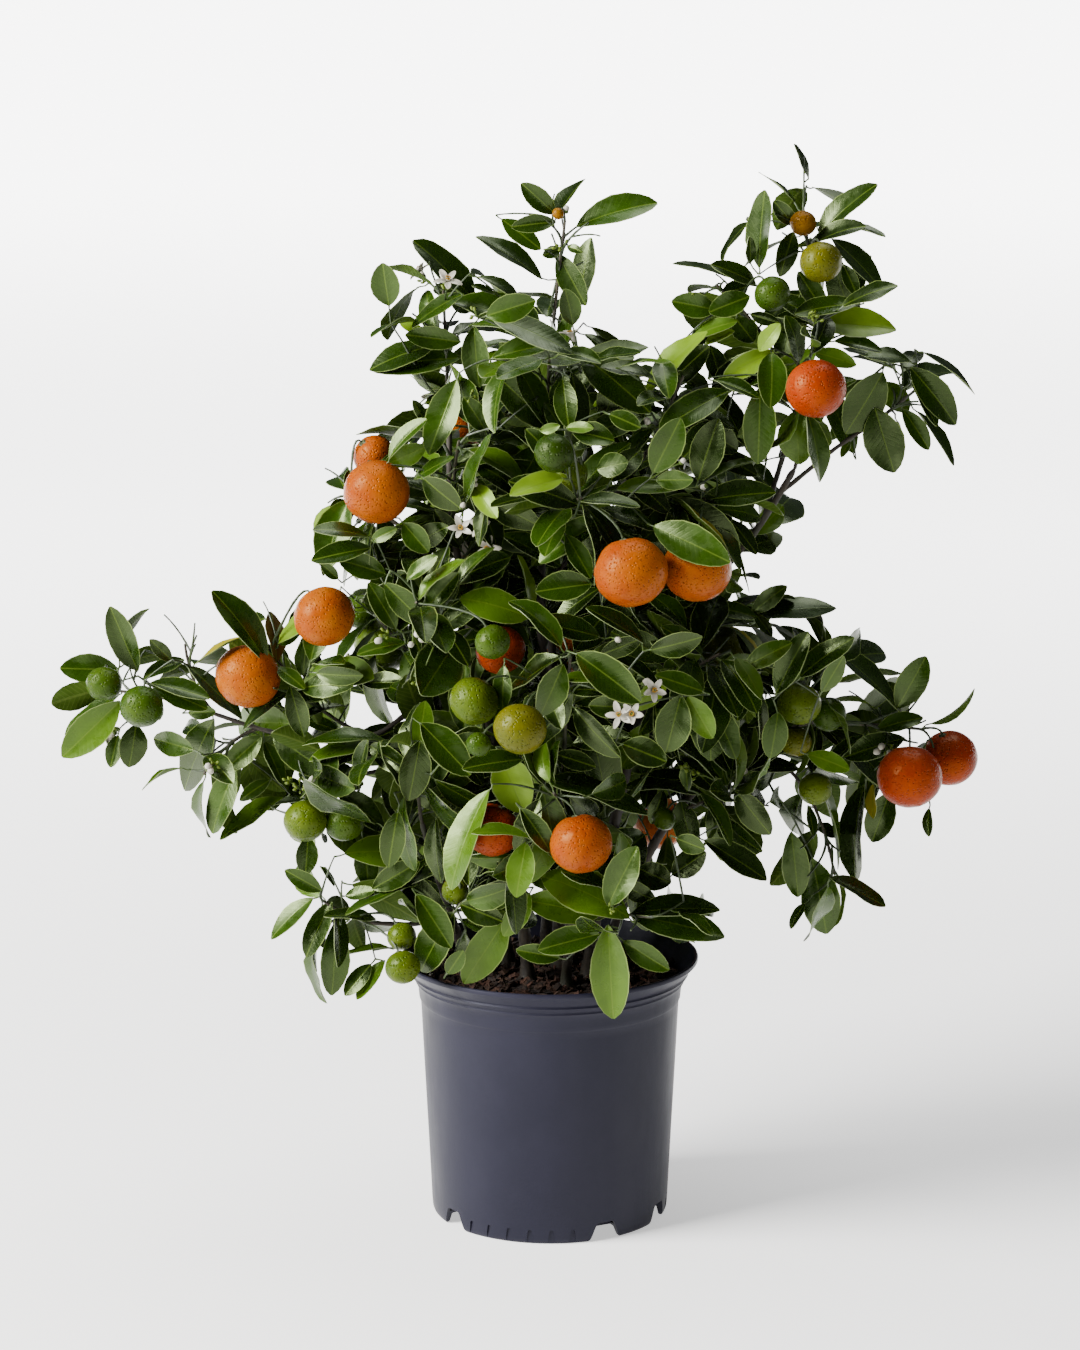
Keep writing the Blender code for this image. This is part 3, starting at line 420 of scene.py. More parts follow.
def makeSoil():
    rng = random.Random(soilPlan["seed"])
    bm = bmesh.new()
    bmesh.ops.create_grid(bm, x_segments=70, y_segments=70, size=soilPlan["radius"])
    outside = [v for v in bm.verts if v.co.length > soilPlan["radius"]]
    bmesh.ops.delete(bm, geom=outside, context="VERTS")
    for vertex in bm.verts:
        lump = noise.noise(vertex.co * 70) * 0.0022 + noise.noise(vertex.co * 210) * 0.0012
        mound = moundAt(vertex.co.length)
        vertex.co.z = soilPlan["top"] - 0.0012 + lump + mound
    made = bmesh.ops.extrude_face_region(bm, geom=bm.faces[:])["geom"]
    for vertex in (item for item in made if isinstance(item, bmesh.types.BMVert)):
        vertex.co.z = soilPlan["top"] - soilPlan["depth"]
    bmesh.ops.recalc_face_normals(bm, faces=bm.faces)
    for i in range(soilPlan["chips"] + soilPlan["whiteBits"]):
        isWhite = i >= soilPlan["chips"]
        bearing = rng.uniform(0, math.tau)
        reach = math.sqrt(rng.random()) * (soilPlan["radius"] - 0.003)
        size = rng.uniform(*soilPlan["chipLengths"]) * rng.uniform(0.5, 1.0)
        if isWhite:
            size = rng.uniform(*soilPlan["whiteLengths"])
        shape = (size, size * rng.uniform(0.3, 0.6), size * rng.uniform(0.16, 0.34))
        if isWhite:
            shape = (size, size * 0.8, size * 0.7)
        tilt = Matrix.Rotation(rng.uniform(0, math.tau), 4, "Z") @ Matrix.Rotation(rng.gauss(0, 0.38), 4, "Y")
        tilt = tilt @ Matrix.Rotation(rng.gauss(0, 0.3), 4, "X")
        mound = moundAt(reach)
        place = Matrix.Translation((
            math.cos(bearing) * reach, math.sin(bearing) * reach,
            soilPlan["top"] + mound + rng.uniform(-0.0012, 0.0022),
        ))
        before = len(bm.faces)
        chip = bmesh.ops.create_cube(bm, size=1.0, matrix=place @ tilt @ Matrix.Diagonal((*shape, 1)))
        for vertex in chip["verts"]:
            vertex.co += scattered(rng) * size * 0.09
        bm.faces.ensure_lookup_table()
        index = 3 if isWhite else rng.choice((0, 0, 1, 1, 2))
        for face in bm.faces[before:]:
            face.material_index = index
    materials = [
        barkMix("barkDark", (0.010, 0.005, 0.003), (0.026, 0.013, 0.007)),
        barkMix("barkBrown", (0.026, 0.011, 0.005), (0.060, 0.028, 0.014)),
        barkMix("barkRed", (0.040, 0.014, 0.007), (0.080, 0.034, 0.018)),
        barkMix("perlite", (0.26, 0.24, 0.21), (0.36, 0.34, 0.31)),
    ]
    soil = newObject("pottingMix", meshFrom(bm, "pottingMix"), materials)
    finishPiece(soil, "potting_bark", "soil")


makeSoil()
print("potting mix laid")


# stems and boughs: where each leaves the soil or its parent, the places it runs through, its radii
limbPlan = {
    "stem_1": dict(
        foot=(-0.052, -0.01), through=[(-0.059, -0.02, 0.188), (-0.069, -0.034, 0.225), (-0.076, -0.048,
        0.255)], radii=(0.0032, 0.0016),
    ),
    "stem_2": dict(
        foot=(-0.026, 0.012), through=[(-0.036, 0.011, 0.21), (-0.056, 0.002, 0.28), (-0.08, -0.006,
        0.316)], radii=(0.0038, 0.0018),
    ),
    "stem_3": dict(
        foot=(-0.014, -0.02), through=[(-0.022, -0.026, 0.24), (-0.043, -0.03, 0.345), (-0.057, -0.028,
        0.43), (-0.06, -0.018, 0.505)], radii=(0.0038, 0.0016),
    ),
    "stem_4": dict(
        foot=(0.006, 0.01), through=[(0.003, 0.013, 0.25), (-0.005, 0.006, 0.36), (-0.003, -0.005, 0.47),
        (0.002, -0.012, 0.548)], radii=(0.0042, 0.0014),
    ),
    "stem_5": dict(
        foot=(0.024, -0.01), through=[(0.034, -0.008, 0.22), (0.055, -0.006, 0.31), (0.088, -0.01, 0.38),
        (0.122, -0.014, 0.425), (0.144, -0.018, 0.462)], radii=(0.004, 0.0018),
    ),
    "stem_6": dict(
        foot=(0.036, 0.016), through=[(0.048, 0.013, 0.195), (0.074, 0.007, 0.245), (0.104, 0.0, 0.277),
        (0.132, -0.002, 0.297)], radii=(0.0036, 0.0018),
    ),
    "stem_7": dict(
        foot=(0.01, -0.036), through=[(0.012, -0.046, 0.195), (0.009, -0.06, 0.255), (0.008, -0.074, 0.3)],
        radii=(0.0032, 0.0016),
    ),
    "stem_8": dict(
        foot=(-0.002, 0.036), through=[(0.0, 0.048, 0.22), (0.002, 0.06, 0.31), (-0.002, 0.068, 0.385),
        (-0.012, 0.074, 0.43)], radii=(0.004, 0.0018),
    ),
    "bough_1a": dict(
        parent="stem_1", along=0.38, through=[(-0.082, -0.028, 0.187), (-0.108, -0.036, 0.19)],
        radii=(0.0018, 0.0013),
    ),
    "bough_2a": dict(
        parent="stem_2", along=1.0, through=[(-0.104, -0.01, 0.3), (-0.134, -0.012, 0.296), (-0.168, -0.012,
        0.302), (-0.204, -0.012, 0.314), (-0.224, -0.012, 0.321)], radii=(0.0017, 0.0012),
    ),
    "bough_2b": dict(
        parent="stem_2", along=0.8, through=[(-0.084, -0.018, 0.284), (-0.112, -0.026, 0.279)],
        radii=(0.0015, 0.0012),
    ),
    "bough_3a": dict(
        parent="stem_3", along=0.66, through=[(-0.07, -0.027, 0.408), (-0.088, -0.022, 0.428)],
        radii=(0.0016, 0.0012),
    ),
    "bough_4a": dict(
        parent="stem_4", along=0.58, through=[(0.02, -0.008, 0.42), (0.052, -0.028, 0.466)], radii=(0.0017,
        0.0012),
    ),
    "bough_5a": dict(
        parent="stem_5", along=0.9, through=[(0.147, 0.004, 0.5), (0.15, 0.006, 0.54), (0.153, 0.002,
        0.562)], radii=(0.0017, 0.0012),
    ),
    "bough_5b": dict(
        parent="stem_5", along=0.95, through=[(0.17, 0.0, 0.472), (0.19, 0.007, 0.484)], radii=(0.0015,
        0.0012),
    ),
    "bough_6a": dict(
        parent="stem_6", along=1.0, through=[(0.156, -0.001, 0.305), (0.184, 0.0, 0.304)], radii=(0.0017,
        0.0012),
    ),
    "bough_7a": dict(
        parent="stem_7", along=0.3, through=[(0.02, -0.058, 0.198), (0.031, -0.072, 0.205)], radii=(0.0016,
        0.0012),
    ),
    "bough_8a": dict(
        parent="stem_8", along=0.76, through=[(0.022, 0.074, 0.385), (0.045, 0.082, 0.415)], radii=(0.0017,
        0.0012),
    ),
    "bough_8b": dict(
        parent="stem_8", along=0.45, through=[(-0.036, 0.064, 0.288), (-0.064, 0.072, 0.308)],
        radii=(0.0017, 0.0012),
    ),
    "bough_8c": dict(
        parent="stem_8", along=0.4, through=[(0.034, 0.066, 0.272), (0.06, 0.078, 0.3)], radii=(0.0017,
        0.0012),
    ),
}

# masses of foliage: the limb and the place along it that each grows from, the middle and
# half-widths of its space, its shoots, and its fruit as (x, y, z, radius, kind)
massPlan = {
    "top_spray": dict(
        limb="stem_4", along=1.0, centre=(0.007, -0.02, 0.594), radii=(0.052, 0.036, 0.04), shoots=2,
        fruit=[(0.0045, -0.026, 0.613, 0.0036, "turning")],
    ),
    "top_left": dict(
        limb="stem_3", along=1.0, centre=(-0.062, -0.01, 0.55), radii=(0.05, 0.04, 0.043), shoots=3,
    ),
    "top_centre": dict(
        limb="stem_4", along=0.84, centre=(-0.001, -0.048, 0.522), radii=(0.052, 0.04, 0.042), shoots=3,
    ),
    "top_back": dict(
        limb="stem_4", along=0.78, centre=(0.006, 0.066, 0.512), radii=(0.055, 0.045, 0.045), shoots=3,
    ),
    "right_crest": dict(
        limb="bough_5a", along=1.0, centre=(0.15, 0.0, 0.594), radii=(0.05, 0.04, 0.052), shoots=3,
        fruit=[(0.1475, -0.012, 0.606, 0.0078, "turning"), (0.157, -0.03, 0.5855, 0.0125, "olive")],
    ),
    "right_crest_left": dict(
        limb="bough_5a", along=0.5, centre=(0.104, -0.015, 0.56), radii=(0.037, 0.034, 0.031), shoots=3,
        fruit=[(0.129, -0.03, 0.567, 0.0107, "green")],
    ),
    "right_crown": dict(
        limb="stem_5", along=1.0, centre=(0.144, -0.03, 0.51), radii=(0.056, 0.044, 0.048), shoots=5,
        fruit=[(0.153, -0.062, 0.516, 0.0176, "deep")],
    ),
    "right_outer": dict(
        limb="bough_5b", along=1.0, centre=(0.21, 0.008, 0.5), radii=(0.042, 0.036, 0.04), shoots=3,
    ),
    "right_shoulder": dict(
        limb="bough_4a", along=1.0, centre=(0.07, -0.038, 0.505), radii=(0.05, 0.042, 0.046), shoots=3,
    ),
    "left_shoulder": dict(
        limb="stem_3", along=0.8, centre=(-0.054, -0.054, 0.472), radii=(0.046, 0.04, 0.05), shoots=3,
    ),
    "left_shoulder_outer": dict(
        limb="bough_3a", along=1.0, centre=(-0.106, -0.02, 0.438), radii=(0.042, 0.04, 0.044), shoots=4,
        fruit=[(-0.101, -0.052, 0.454, 0.0194, "orange"), (-0.104, -0.012, 0.469, 0.0125, "orange")],
    ),
    "heart_upper": dict(
        limb="stem_4", along=0.64, centre=(0.014, -0.08, 0.449), radii=(0.05, 0.044, 0.05), shoots=3,
        fruit=[(0.0456, -0.12, 0.4195, 0.0211, "orange"), (0.002, -0.11, 0.486, 0.0115, "dark"), (0.01,
        -0.082, 0.47, 0.0116, "lime")],
    ),
    "right_flank_upper": dict(
        limb="stem_5", along=0.66, centre=(0.088, -0.044, 0.435), radii=(0.043, 0.04, 0.042), shoots=3,
        fruit=[(0.084, -0.096, 0.417, 0.0201, "orange")],
    ),
    "left_flank": dict(
        limb="stem_3", along=0.52, centre=(-0.07, -0.072, 0.382), radii=(0.05, 0.044, 0.054), shoots=4,
        fruit=[(-0.029, -0.07, 0.364, 0.0146, "deep"), (-0.033, -0.12, 0.379, 0.0103, "green")],
    ),
    "left_arm_inner": dict(
        limb="bough_2a", along=0.22, centre=(-0.152, -0.028, 0.344), radii=(0.062, 0.04, 0.044), shoots=5,
        fruit=[(-0.132, -0.056, 0.381, 0.0182, "amber"), (-0.179, -0.032, 0.34, 0.0196, "amber")],
    ),
    "left_arm_middle": dict(
        limb="bough_2a", along=0.66, centre=(-0.196, -0.014, 0.286), radii=(0.044, 0.036, 0.042), shoots=3,
    ),
    "left_arm_outer": dict(
        limb="bough_2a", along=0.84, centre=(-0.212, -0.014, 0.342), radii=(0.04, 0.036, 0.038), shoots=3,
    ),
    "left_arm_tip": dict(
        limb="bough_2a", along=1.0, centre=(-0.252, -0.01, 0.325), radii=(0.046, 0.038, 0.048), shoots=4,
        fruit=[(-0.264, -0.034, 0.336, 0.0107, "green"), (-0.241, -0.044, 0.3245, 0.013, "green")],
    ),
    "left_low": dict(
        limb="bough_2b", along=1.0, centre=(-0.134, -0.03, 0.266), radii=(0.05, 0.04, 0.042), shoots=4,
        fruit=[(-0.145, -0.048, 0.256, 0.013, "lime"), (-0.122, -0.044, 0.254, 0.0119, "green")],
    ),
    "heart_middle": dict(
        limb="stem_7", along=1.0, centre=(0.011, -0.096, 0.354), radii=(0.05, 0.04, 0.044), shoots=3,
        fruit=[(-0.044, -0.104, 0.341, 0.0144, "lime"), (-0.0174, -0.132, 0.331, 0.0153, "olive"), (-0.041,
        -0.124, 0.32, 0.0074, "green")],
    ),
    "right_flank": dict(
        limb="stem_5", along=0.46, centre=(0.09, -0.056, 0.35), radii=(0.052, 0.044, 0.05), shoots=4,
    ),
    "right_arm_inner": dict(
        limb="bough_6a", along=0.28, centre=(0.15, -0.026, 0.326), radii=(0.046, 0.036, 0.046), shoots=4,
        fruit=[(0.147, -0.044, 0.326, 0.013, "lime"), (0.166, -0.02, 0.3145, 0.0107, "green"), (0.146,
        -0.03, 0.3, 0.0095, "olive")],
    ),
    "right_arm_tip": dict(
        limb="bough_6a", along=1.0, centre=(0.208, 0.0, 0.302), radii=(0.046, 0.038, 0.052), shoots=4,
        fruit=[(0.214, -0.032, 0.279, 0.0196, "deep"), (0.2415, 0.01, 0.2805, 0.0175, "deep")],
    ),
    "right_hanging": dict(
        limb="stem_6", along=0.94, centre=(0.164, -0.01, 0.226), radii=(0.038, 0.034, 0.048), shoots=3,
        fruit=[(0.158, -0.03, 0.271, 0.0101, "lime")],
    ),
    "right_low": dict(
        limb="stem_6", along=0.56, centre=(0.1, -0.034, 0.262), radii=(0.05, 0.042, 0.046), shoots=4,
        fruit=[(0.068, -0.03, 0.2525, 0.0071, "green")],
    ),
    "heart_low": dict(
        limb="stem_7", along=0.72, centre=(0.004, -0.092, 0.278), radii=(0.054, 0.04, 0.042), shoots=3,
        fruit=[(0.0177, -0.11, 0.258, 0.0183, "orange"), (-0.034, -0.09, 0.261, 0.0162, "deep")],
    ),
    "left_heart_low": dict(
        limb="stem_1", along=1.0, centre=(-0.078, -0.058, 0.284), radii=(0.046, 0.042, 0.054), shoots=4,
    ),
    "left_skirt": dict(
        limb="bough_1a", along=1.0, centre=(-0.122, -0.04, 0.198), radii=(0.046, 0.04, 0.05), shoots=4,
        fruit=[(-0.087, -0.076, 0.174, 0.0105, "lime"), (-0.088, -0.062, 0.189, 0.0088, "lime")],
    ),
    "front_skirt_left": dict(
        limb="stem_1", along=0.25, centre=(-0.05, -0.062, 0.208), radii=(0.046, 0.038, 0.04), shoots=4,
        fruit=[(-0.056, -0.066, 0.2176, 0.0082, "lime")],
    ),
    "front_skirt_right": dict(
        limb="bough_7a", along=1.0, centre=(0.046, -0.086, 0.208), radii=(0.058, 0.04, 0.044), shoots=3,
    ),
    "back_upper_left": dict(
        limb="stem_8", along=1.0, centre=(-0.049, 0.086, 0.47), radii=(0.052, 0.048, 0.05), shoots=3,
        fruit=[(-0.06, 0.126, 0.462, 0.0185, "orange")],
    ),
    "back_upper_right": dict(
        limb="bough_8a", along=1.0, centre=(0.068, 0.09, 0.45), radii=(0.054, 0.048, 0.048), shoots=3,
        fruit=[(0.084, 0.13, 0.446, 0.0125, "lime")],
    ),
    "back_left": dict(
        limb="bough_8b", along=1.0, centre=(-0.094, 0.078, 0.34), radii=(0.048, 0.046, 0.048), shoots=3,
        fruit=[(-0.104, 0.116, 0.33, 0.019, "lime"), (-0.118, 0.104, 0.352, 0.011, "green")],
    ),
    "back_middle": dict(
        limb="stem_8", along=0.6, centre=(0.0, 0.112, 0.325), radii=(0.048, 0.042, 0.044), shoots=3,
        fruit=[(0.01, 0.146, 0.318, 0.018, "orange")],
    ),
    "back_right": dict(
        limb="bough_8c", along=1.0, centre=(0.088, 0.09, 0.332), radii=(0.048, 0.046, 0.048), shoots=3,
        fruit=[(0.108, 0.124, 0.322, 0.0186, "olive")],
    ),
    "back_low_left": dict(
        limb="stem_8", along=0.24, centre=(-0.07, 0.088, 0.228), radii=(0.048, 0.04, 0.042), shoots=3,
        fruit=[(-0.08, 0.12, 0.216, 0.0125, "green")],
    ),
    "back_low_right": dict(
        limb="stem_8", along=0.2, centre=(0.05, 0.088, 0.224), radii=(0.05, 0.04, 0.042), shoots=3,
        fruit=[(0.07, 0.122, 0.212, 0.0175, "orange")],
    ),
}

bark = {
    "step": 0.0025,
    "soilTop": 0.148,
    "clear": 0.0003,
    "rootFlare": 1.55,
    "flareHeight": 0.012,
    "relief": 0.00022,
    "knots": 0.021,
    "knotRise": 0.16,
    "tipLength": 0.004,
}


def smoothPath(points, step):
    # a Catmull-Rom curve through the points
    points = [Vector(point) for point in points]
    ends = [2 * points[0] - points[1], *points, 2 * points[-1] - points[-2]]
    path = []
    for a, b, c, d in zip(ends, ends[1:], ends[2:], ends[3:]):
        count = max(1, round((c - b).length / step))
        for i in range(count):
            t = i / count
            path.append(0.5 * (2 * b + (c - a) * t + (2 * a - 5 * b + 4 * c - d) * t**2
                               + (3 * b - a - 3 * c + d) * t**3))
    return path + [points[-1]]


def bentPath(start, control, end, pieces):
    shares = [i / pieces for i in range(pieces + 1)]
    return [start * (1 - t) ** 2 + control * 2 * t * (1 - t) + end * t**2 for t in shares]


def pathLength(path):
    return sum((b - a).length for a, b in zip(path, path[1:]))


def pointAt(path, share):
    left = share * pathLength(path)
    for a, b in zip(path, path[1:]):
        length = (b - a).length
        if left <= length or b is path[-1]:
            return a.lerp(b, min(1.0, left / length)), (b - a).normalized()
        left -= length


def limbPaths():
    paths = {}
    for name, plan in limbPlan.items():
        if "foot" in plan:
            x, y = plan["foot"]
            base = bark["soilTop"] + bark["clear"]
            points = [(x, y, base), (x, y, base + bark["flareHeight"]), *plan["through"]]
        else:
            start, direction = pointAt(paths[plan["parent"]], plan["along"])
            points = [start + direction * bark["clear"] if plan["along"] == 1.0 else start, *plan["through"]]
        paths[name] = smoothPath(points, bark["step"])
    return paths


def tubesMesh(name, tubes, sides, materials):
    # many tapering tubes in one mesh: each is (path, radii, material index)
    data = bpy.data.curves.new(name, "CURVE")
    data.dimensions = "3D"
    data.bevel_depth = 1.0
    data.bevel_resolution = sides // 2 - 2
    data.use_fill_caps = True
    for material in materials:
        data.materials.append(material)
    for path, radii, index in tubes:
        spline = data.splines.new("POLY")
        spline.points.add(len(path) - 1)
        spline.material_index = index
        for point, place, radius in zip(spline.points, path, radii):
            point.co = (*place, 1.0)
            point.radius = radius
    curve = newObject(name + "Curve", data)
    graph = bpy.context.evaluated_depsgraph_get()
    mesh = bpy.data.meshes.new_from_object(curve.evaluated_get(graph))
    bpy.data.objects.remove(curve, do_unlink=True)
    bm = bmesh.new()
    bm.from_mesh(mesh)
    bmesh.ops.remove_doubles(bm, verts=bm.verts, dist=0.000005)
    bm.to_mesh(mesh)
    bm.free()
    mesh.name = name
    return mesh


def barkMaterial(name, dark, light, green, rough=0.75):
    material, _ = newMaterial(name, dark, rough)
    nodes = nodeMaker(material)
    streaks = nodes.speckle(260.0, 4.0, 0.65, (1.0, 1.0, 0.18))
    patches = nodes.speckle(45.0, 3.0)
    flecks = nodes.cells(420.0)
    colour = nodes.mix(nodes.ramp(streaks, 0.35, 0.66), dark, light)
    colour = nodes.mix(nodes.ramp(patches, 0.50, 0.72, 0.0, 0.75), colour, green)
    pale = tuple(min(1.0, c * 2.4) for c in light)
    colour = nodes.mix(nodes.ramp(flecks, 0.10, 0.26, 0.40, 0.0), colour, pale)
    nodes.drive("Base Color", colour)
    nodes.drive("Roughness", nodes.ramp(streaks, 0.3, 0.7, rough - 0.12, rough + 0.12))
    nodes.bump(nodes.maths("SUBTRACT", streaks, nodes.maths("MULTIPLY", flecks, 0.5)), 0.55, 0.0005)
    return material


def limbRadii(name, path):
    first, last = limbPlan[name]["radii"]
    total = pathLength(path)
    radii = []
    run = 0.0
    shift = sum(map(ord, name)) % 97 * 0.13
    for i, place in enumerate(path):
        run += (place - path[i - 1]).length if i else 0.0
        radius = first + (last - first) * run / total
        if "foot" in limbPlan[name]:
            radius *= 1 + (bark["rootFlare"] - 1) * max(0.0, 1 - run / bark["flareHeight"]) ** 1.5
        knot = max(0.0, math.cos((run / bark["knots"] + shift) * math.tau)) ** 14
        tip = min(1.0, 0.55 + (total - run) / bark["tipLength"])
        radii.append(radius * (1 + bark["knotRise"] * knot) * tip)
    return radii


def makeLimbs(paths):
    material = barkMaterial("stemBark", (0.013, 0.0085, 0.005), (0.032, 0.0235, 0.014), (0.018, 0.021, 0.008))
    for pieceName, first in (("stems", "stem"), ("boughs", "bough")):
        names = [name for name in paths if name.startswith(first)]
        tubes = [(paths[name], limbRadii(name, paths[name]), 0) for name in names]
        mesh = tubesMesh(pieceName, tubes, 12 if first == "stem" else 8, [material])
        for vertex in mesh.vertices:
            place = vertex.co.copy()
            lump = noise.noise(Vector((place.x * 700, place.y * 700, place.z * 90)))
            fine = noise.noise(place * 1500)
            vertex.co = place + vertex.normal * (lump + 0.5 * fine) * bark["relief"]
        smoothShade(mesh, 70)
        finishPiece(newObject(pieceName, mesh), "stem_bark", *names)


limbs = limbPaths()
makeLimbs(limbs)
print("stems and boughs made")

# Growth: one seeded rule branches every mass and hangs its leaves
growth = {
    "seed": 7,
    "moreShoots": 3,
    "sideShoots": 2,
    "leafStep": 0.0078,
    "tipLeaves": 3,
    "spaceReach": 1.22,
    "spaceSlack": 0.45,
    "tries": 9,
    "places": 9000,
    "far": 1000.0,
    "crownMiddle": Vector((0.0, 0.03, 0.34)),
    "goldenAngle": math.radians(137.5),
}
# the sorts of twig: radii at both ends, where its leaves start, the half-width that has to be free
# for it, and the half-width that it takes up
twigSorts = {
    "sprig": {"radii": (0.00120, 0.00085), "leavesFrom": 0.35, "clear": 0.0016, "room": 0.0014},
    "shoot": {"radii": (0.00095, 0.00055), "leavesFrom": 0.22, "clear": 0.0013, "room": 0.0012},
    "side": {"radii": (0.00070, 0.00045), "leavesFrom": 0.30, "clear": 0.0012, "room": 0.0010},
    "inner": {"radii": (0.00070, 0.00045), "leavesFrom": 0.25, "clear": 0.0012, "room": 0.0011},
    "stalk": {"radii": (0.00080, 0.00065), "leavesFrom": None, "clear": 0.0010, "room": 0.0010},
    "shown": {"radii": (0.00095, 0.00055), "leavesFrom": None, "room": 0.0011},
    "spur": {"radii": (0.00070, 0.00045), "leavesFrom": None, "room": 0.0010},
}


class placeList:
    # places, with the distance from the nearest of them
    def __init__(self):
        self.places = np.full((growth["places"], 3), growth["far"])
        self.count = 0

    def append(self, place):
        self.places[self.count] = tuple(place)
        self.count += 1

    def nearest(self, place):
        gaps = self.places[:self.count + 1] - np.array(tuple(place))
        return float(np.sqrt((gaps ** 2).sum(axis=1).min()))


class takenSpace:
    # what is in place already, for telling whether a new shape would touch it
    def __init__(self):
        self.lows = np.full((growth["places"], 3), growth["far"])
        self.highs = np.full((growth["places"], 3), -growth["far"])
        self.trees = []
        self.owners = []

    def add(self, shape, owner):
        points, faces = shape
        spot = len(self.trees)
        self.lows[spot] = points.min(axis=0)
        self.highs[spot] = points.max(axis=0)
        self.trees.append(BVHTree.FromPolygons(points.tolist(), faces))
        self.owners.append(owner)

    def isFree(self, shape, *ignored):
        points, faces = shape
        low = points.min(axis=0)
        high = points.max(axis=0)
        count = len(self.trees)
        near = ((low <= self.highs[:count]) & (high >= self.lows[:count])).all(axis=1).nonzero()[0]
        near = [i for i in near if self.owners[i] not in ignored]
        if not near:
            return True
        tree = BVHTree.FromPolygons(points.tolist(), faces)
        return not any(tree.overlap(self.trees[i]) for i in near)


def tubeShape(path, radius, sides=3):
    points = []
    for i, place in enumerate(path):
        direction = (path[min(i + 1, len(path) - 1)] - path[max(i - 1, 0)]).normalized()
        for k in range(sides):
            points.append(place + sideways(direction, math.tau * k / sides) * radius)
    faces = []
    for i in range(len(path) - 1):
        for k in range(sides):
            a, b = i * sides + k, i * sides + (k + 1) % sides
            faces.append((a, b, b + sides, a + sides))
    return np.array([tuple(point) for point in points]), faces


def ballShape(centre, radius):
    bm = bmesh.new()
    bmesh.ops.create_icosphere(bm, subdivisions=1, radius=radius * 1.06, matrix=Matrix.Translation(centre))
    return templateOf(bm)


def sideways(direction, angle):
    base = direction.cross(up if abs(direction.z) < 0.9 else Vector((1, 0, 0))).normalized()
    return Matrix.Rotation(angle, 3, direction) @ base


def newTwig(sort, path, name, taken):
    taken.add(tubeShape(path, twigSorts[sort]["room"]), name + "/twig")
    return {"sort": sort, "path": path, **twigSorts[sort]}


def hasRoom(sort, path, taken, *ignored):
    return taken.isFree(tubeShape(path, twigSorts[sort]["clear"]), *ignored)


massNames = list(massPlan)
massMiddles = np.array([mass["centre"] for mass in massPlan.values()])
massReaches = np.array([mass["radii"] for mass in massPlan.values()])


def spreads(point):
    # how far out a place lies in every mass, in half-widths
    return np.sqrt((((np.array(tuple(point)) - massMiddles) / massReaches) ** 2).sum(axis=1))


def inOwnSpace(point, name, slack=0.0):
    for i in range(3):
        if not cadBox[0][i] - 0.004 < point[i] < cadBox[1][i] + 0.004:
            return False
    found = spreads(point)
    own = found[massNames.index(name)]
    return own <= growth["spaceReach"] + slack and own < found.min() + growth["spaceSlack"] + slack


# Leaves: every blade has its own length, width, droop, fold, twist and wave
leafForm = {
    "across": 4,
    "along": 8,
    "lengths": (0.028, 0.060),
    "widths": (0.42, 0.55),
    "petioles": (0.004, 0.008),
    "droop": (0.10, 0.85),
    "fold": (0.12, 0.62),
    "twist": (-0.45, 0.45),
    "wave": (0.0, 0.16),
    "phase": (0, 6.28),
    "tipLean": (0.2, 0.9),
    "sideLean": (0.7, 1.4),
}
measures = ("length", "width", "droop", "fold", "twist", "wave", "phase")


def bladeOutline(share):
    # an ellipse drawn out to a wedge at the foot and blunter at the tip
    inside = np.clip(share, 0.003, 0.997)
    return np.sin(math.pi * inside**0.98) ** (0.80 - 0.20 * inside)


def bladePoints(leaves, side, share):
    # side runs from -1 to 1 across a blade, share from 0 to 1 along it
    length, width, droop, fold, twist, wave, phase = (
        np.array([leaf[key] for leaf in leaves])[:, None] for key in measures
    )
    root, along, normal = (
        np.array([tuple(leaf[key]) for leaf in leaves])[:, None, :] for key in ("root", "along", "normal")
    )
    across = np.cross(normal, along)
    bend = droop * share + 1e-5
    run = length * np.sin(bend) / (droop + 1e-5)
    drop = -length * (1 - np.cos(bend)) / (droop + 1e-5)
    outline = bladeOutline(share)
    half = width / 2 * outline + 0.00012
    slope = fold * (1 - 0.45 * share)
    rib = np.sqrt(side**2 + 0.02) - 0.141
    off = side * half * np.cos(slope)
    lift = rib * half * np.sin(slope)
    lift = lift + wave * half * side**2 * np.sin(phase + 8.5 * share + (side > 0) * 1.9)
    turn = twist * (share - 0.15)
    off, lift = off * np.cos(turn) - lift * np.sin(turn), off * np.sin(turn) + lift * np.cos(turn)
    forward = run + np.sin(bend) * lift
    height = drop + np.cos(bend) * lift
    return root + along * forward[..., None] + across * off[..., None] + normal * height[..., None]


# a coarse blade of four rows of three places, for telling whether a leaf has room
proxySide, proxyShare = (grid.ravel() for grid in np.meshgrid((-1.0, 0.0, 1.0), (0.06, 0.3, 0.6, 0.98)))
proxyFaces = [(i * 3 + k, i * 3 + k + 1, i * 3 + k + 4, i * 3 + k + 3) for i in range(3) for k in range(2)]
proxyMiddle, proxyTip = 7, 10


def bladeShape(leaf):
    return bladePoints([leaf], proxySide[None, :], proxyShare[None, :])[0], proxyFaces


def newLeaf(root, along, normal, length, rng, tone, width=None):
    width = width or rng.uniform(*leafForm["widths"])
    leaf = {"root": root, "along": along, "normal": normal, "length": length, "width": length * width}
    for measure in measures[2:]:
        leaf[measure] = rng.uniform(*leafForm[measure])
    leaf["tone"] = tone
    return leaf


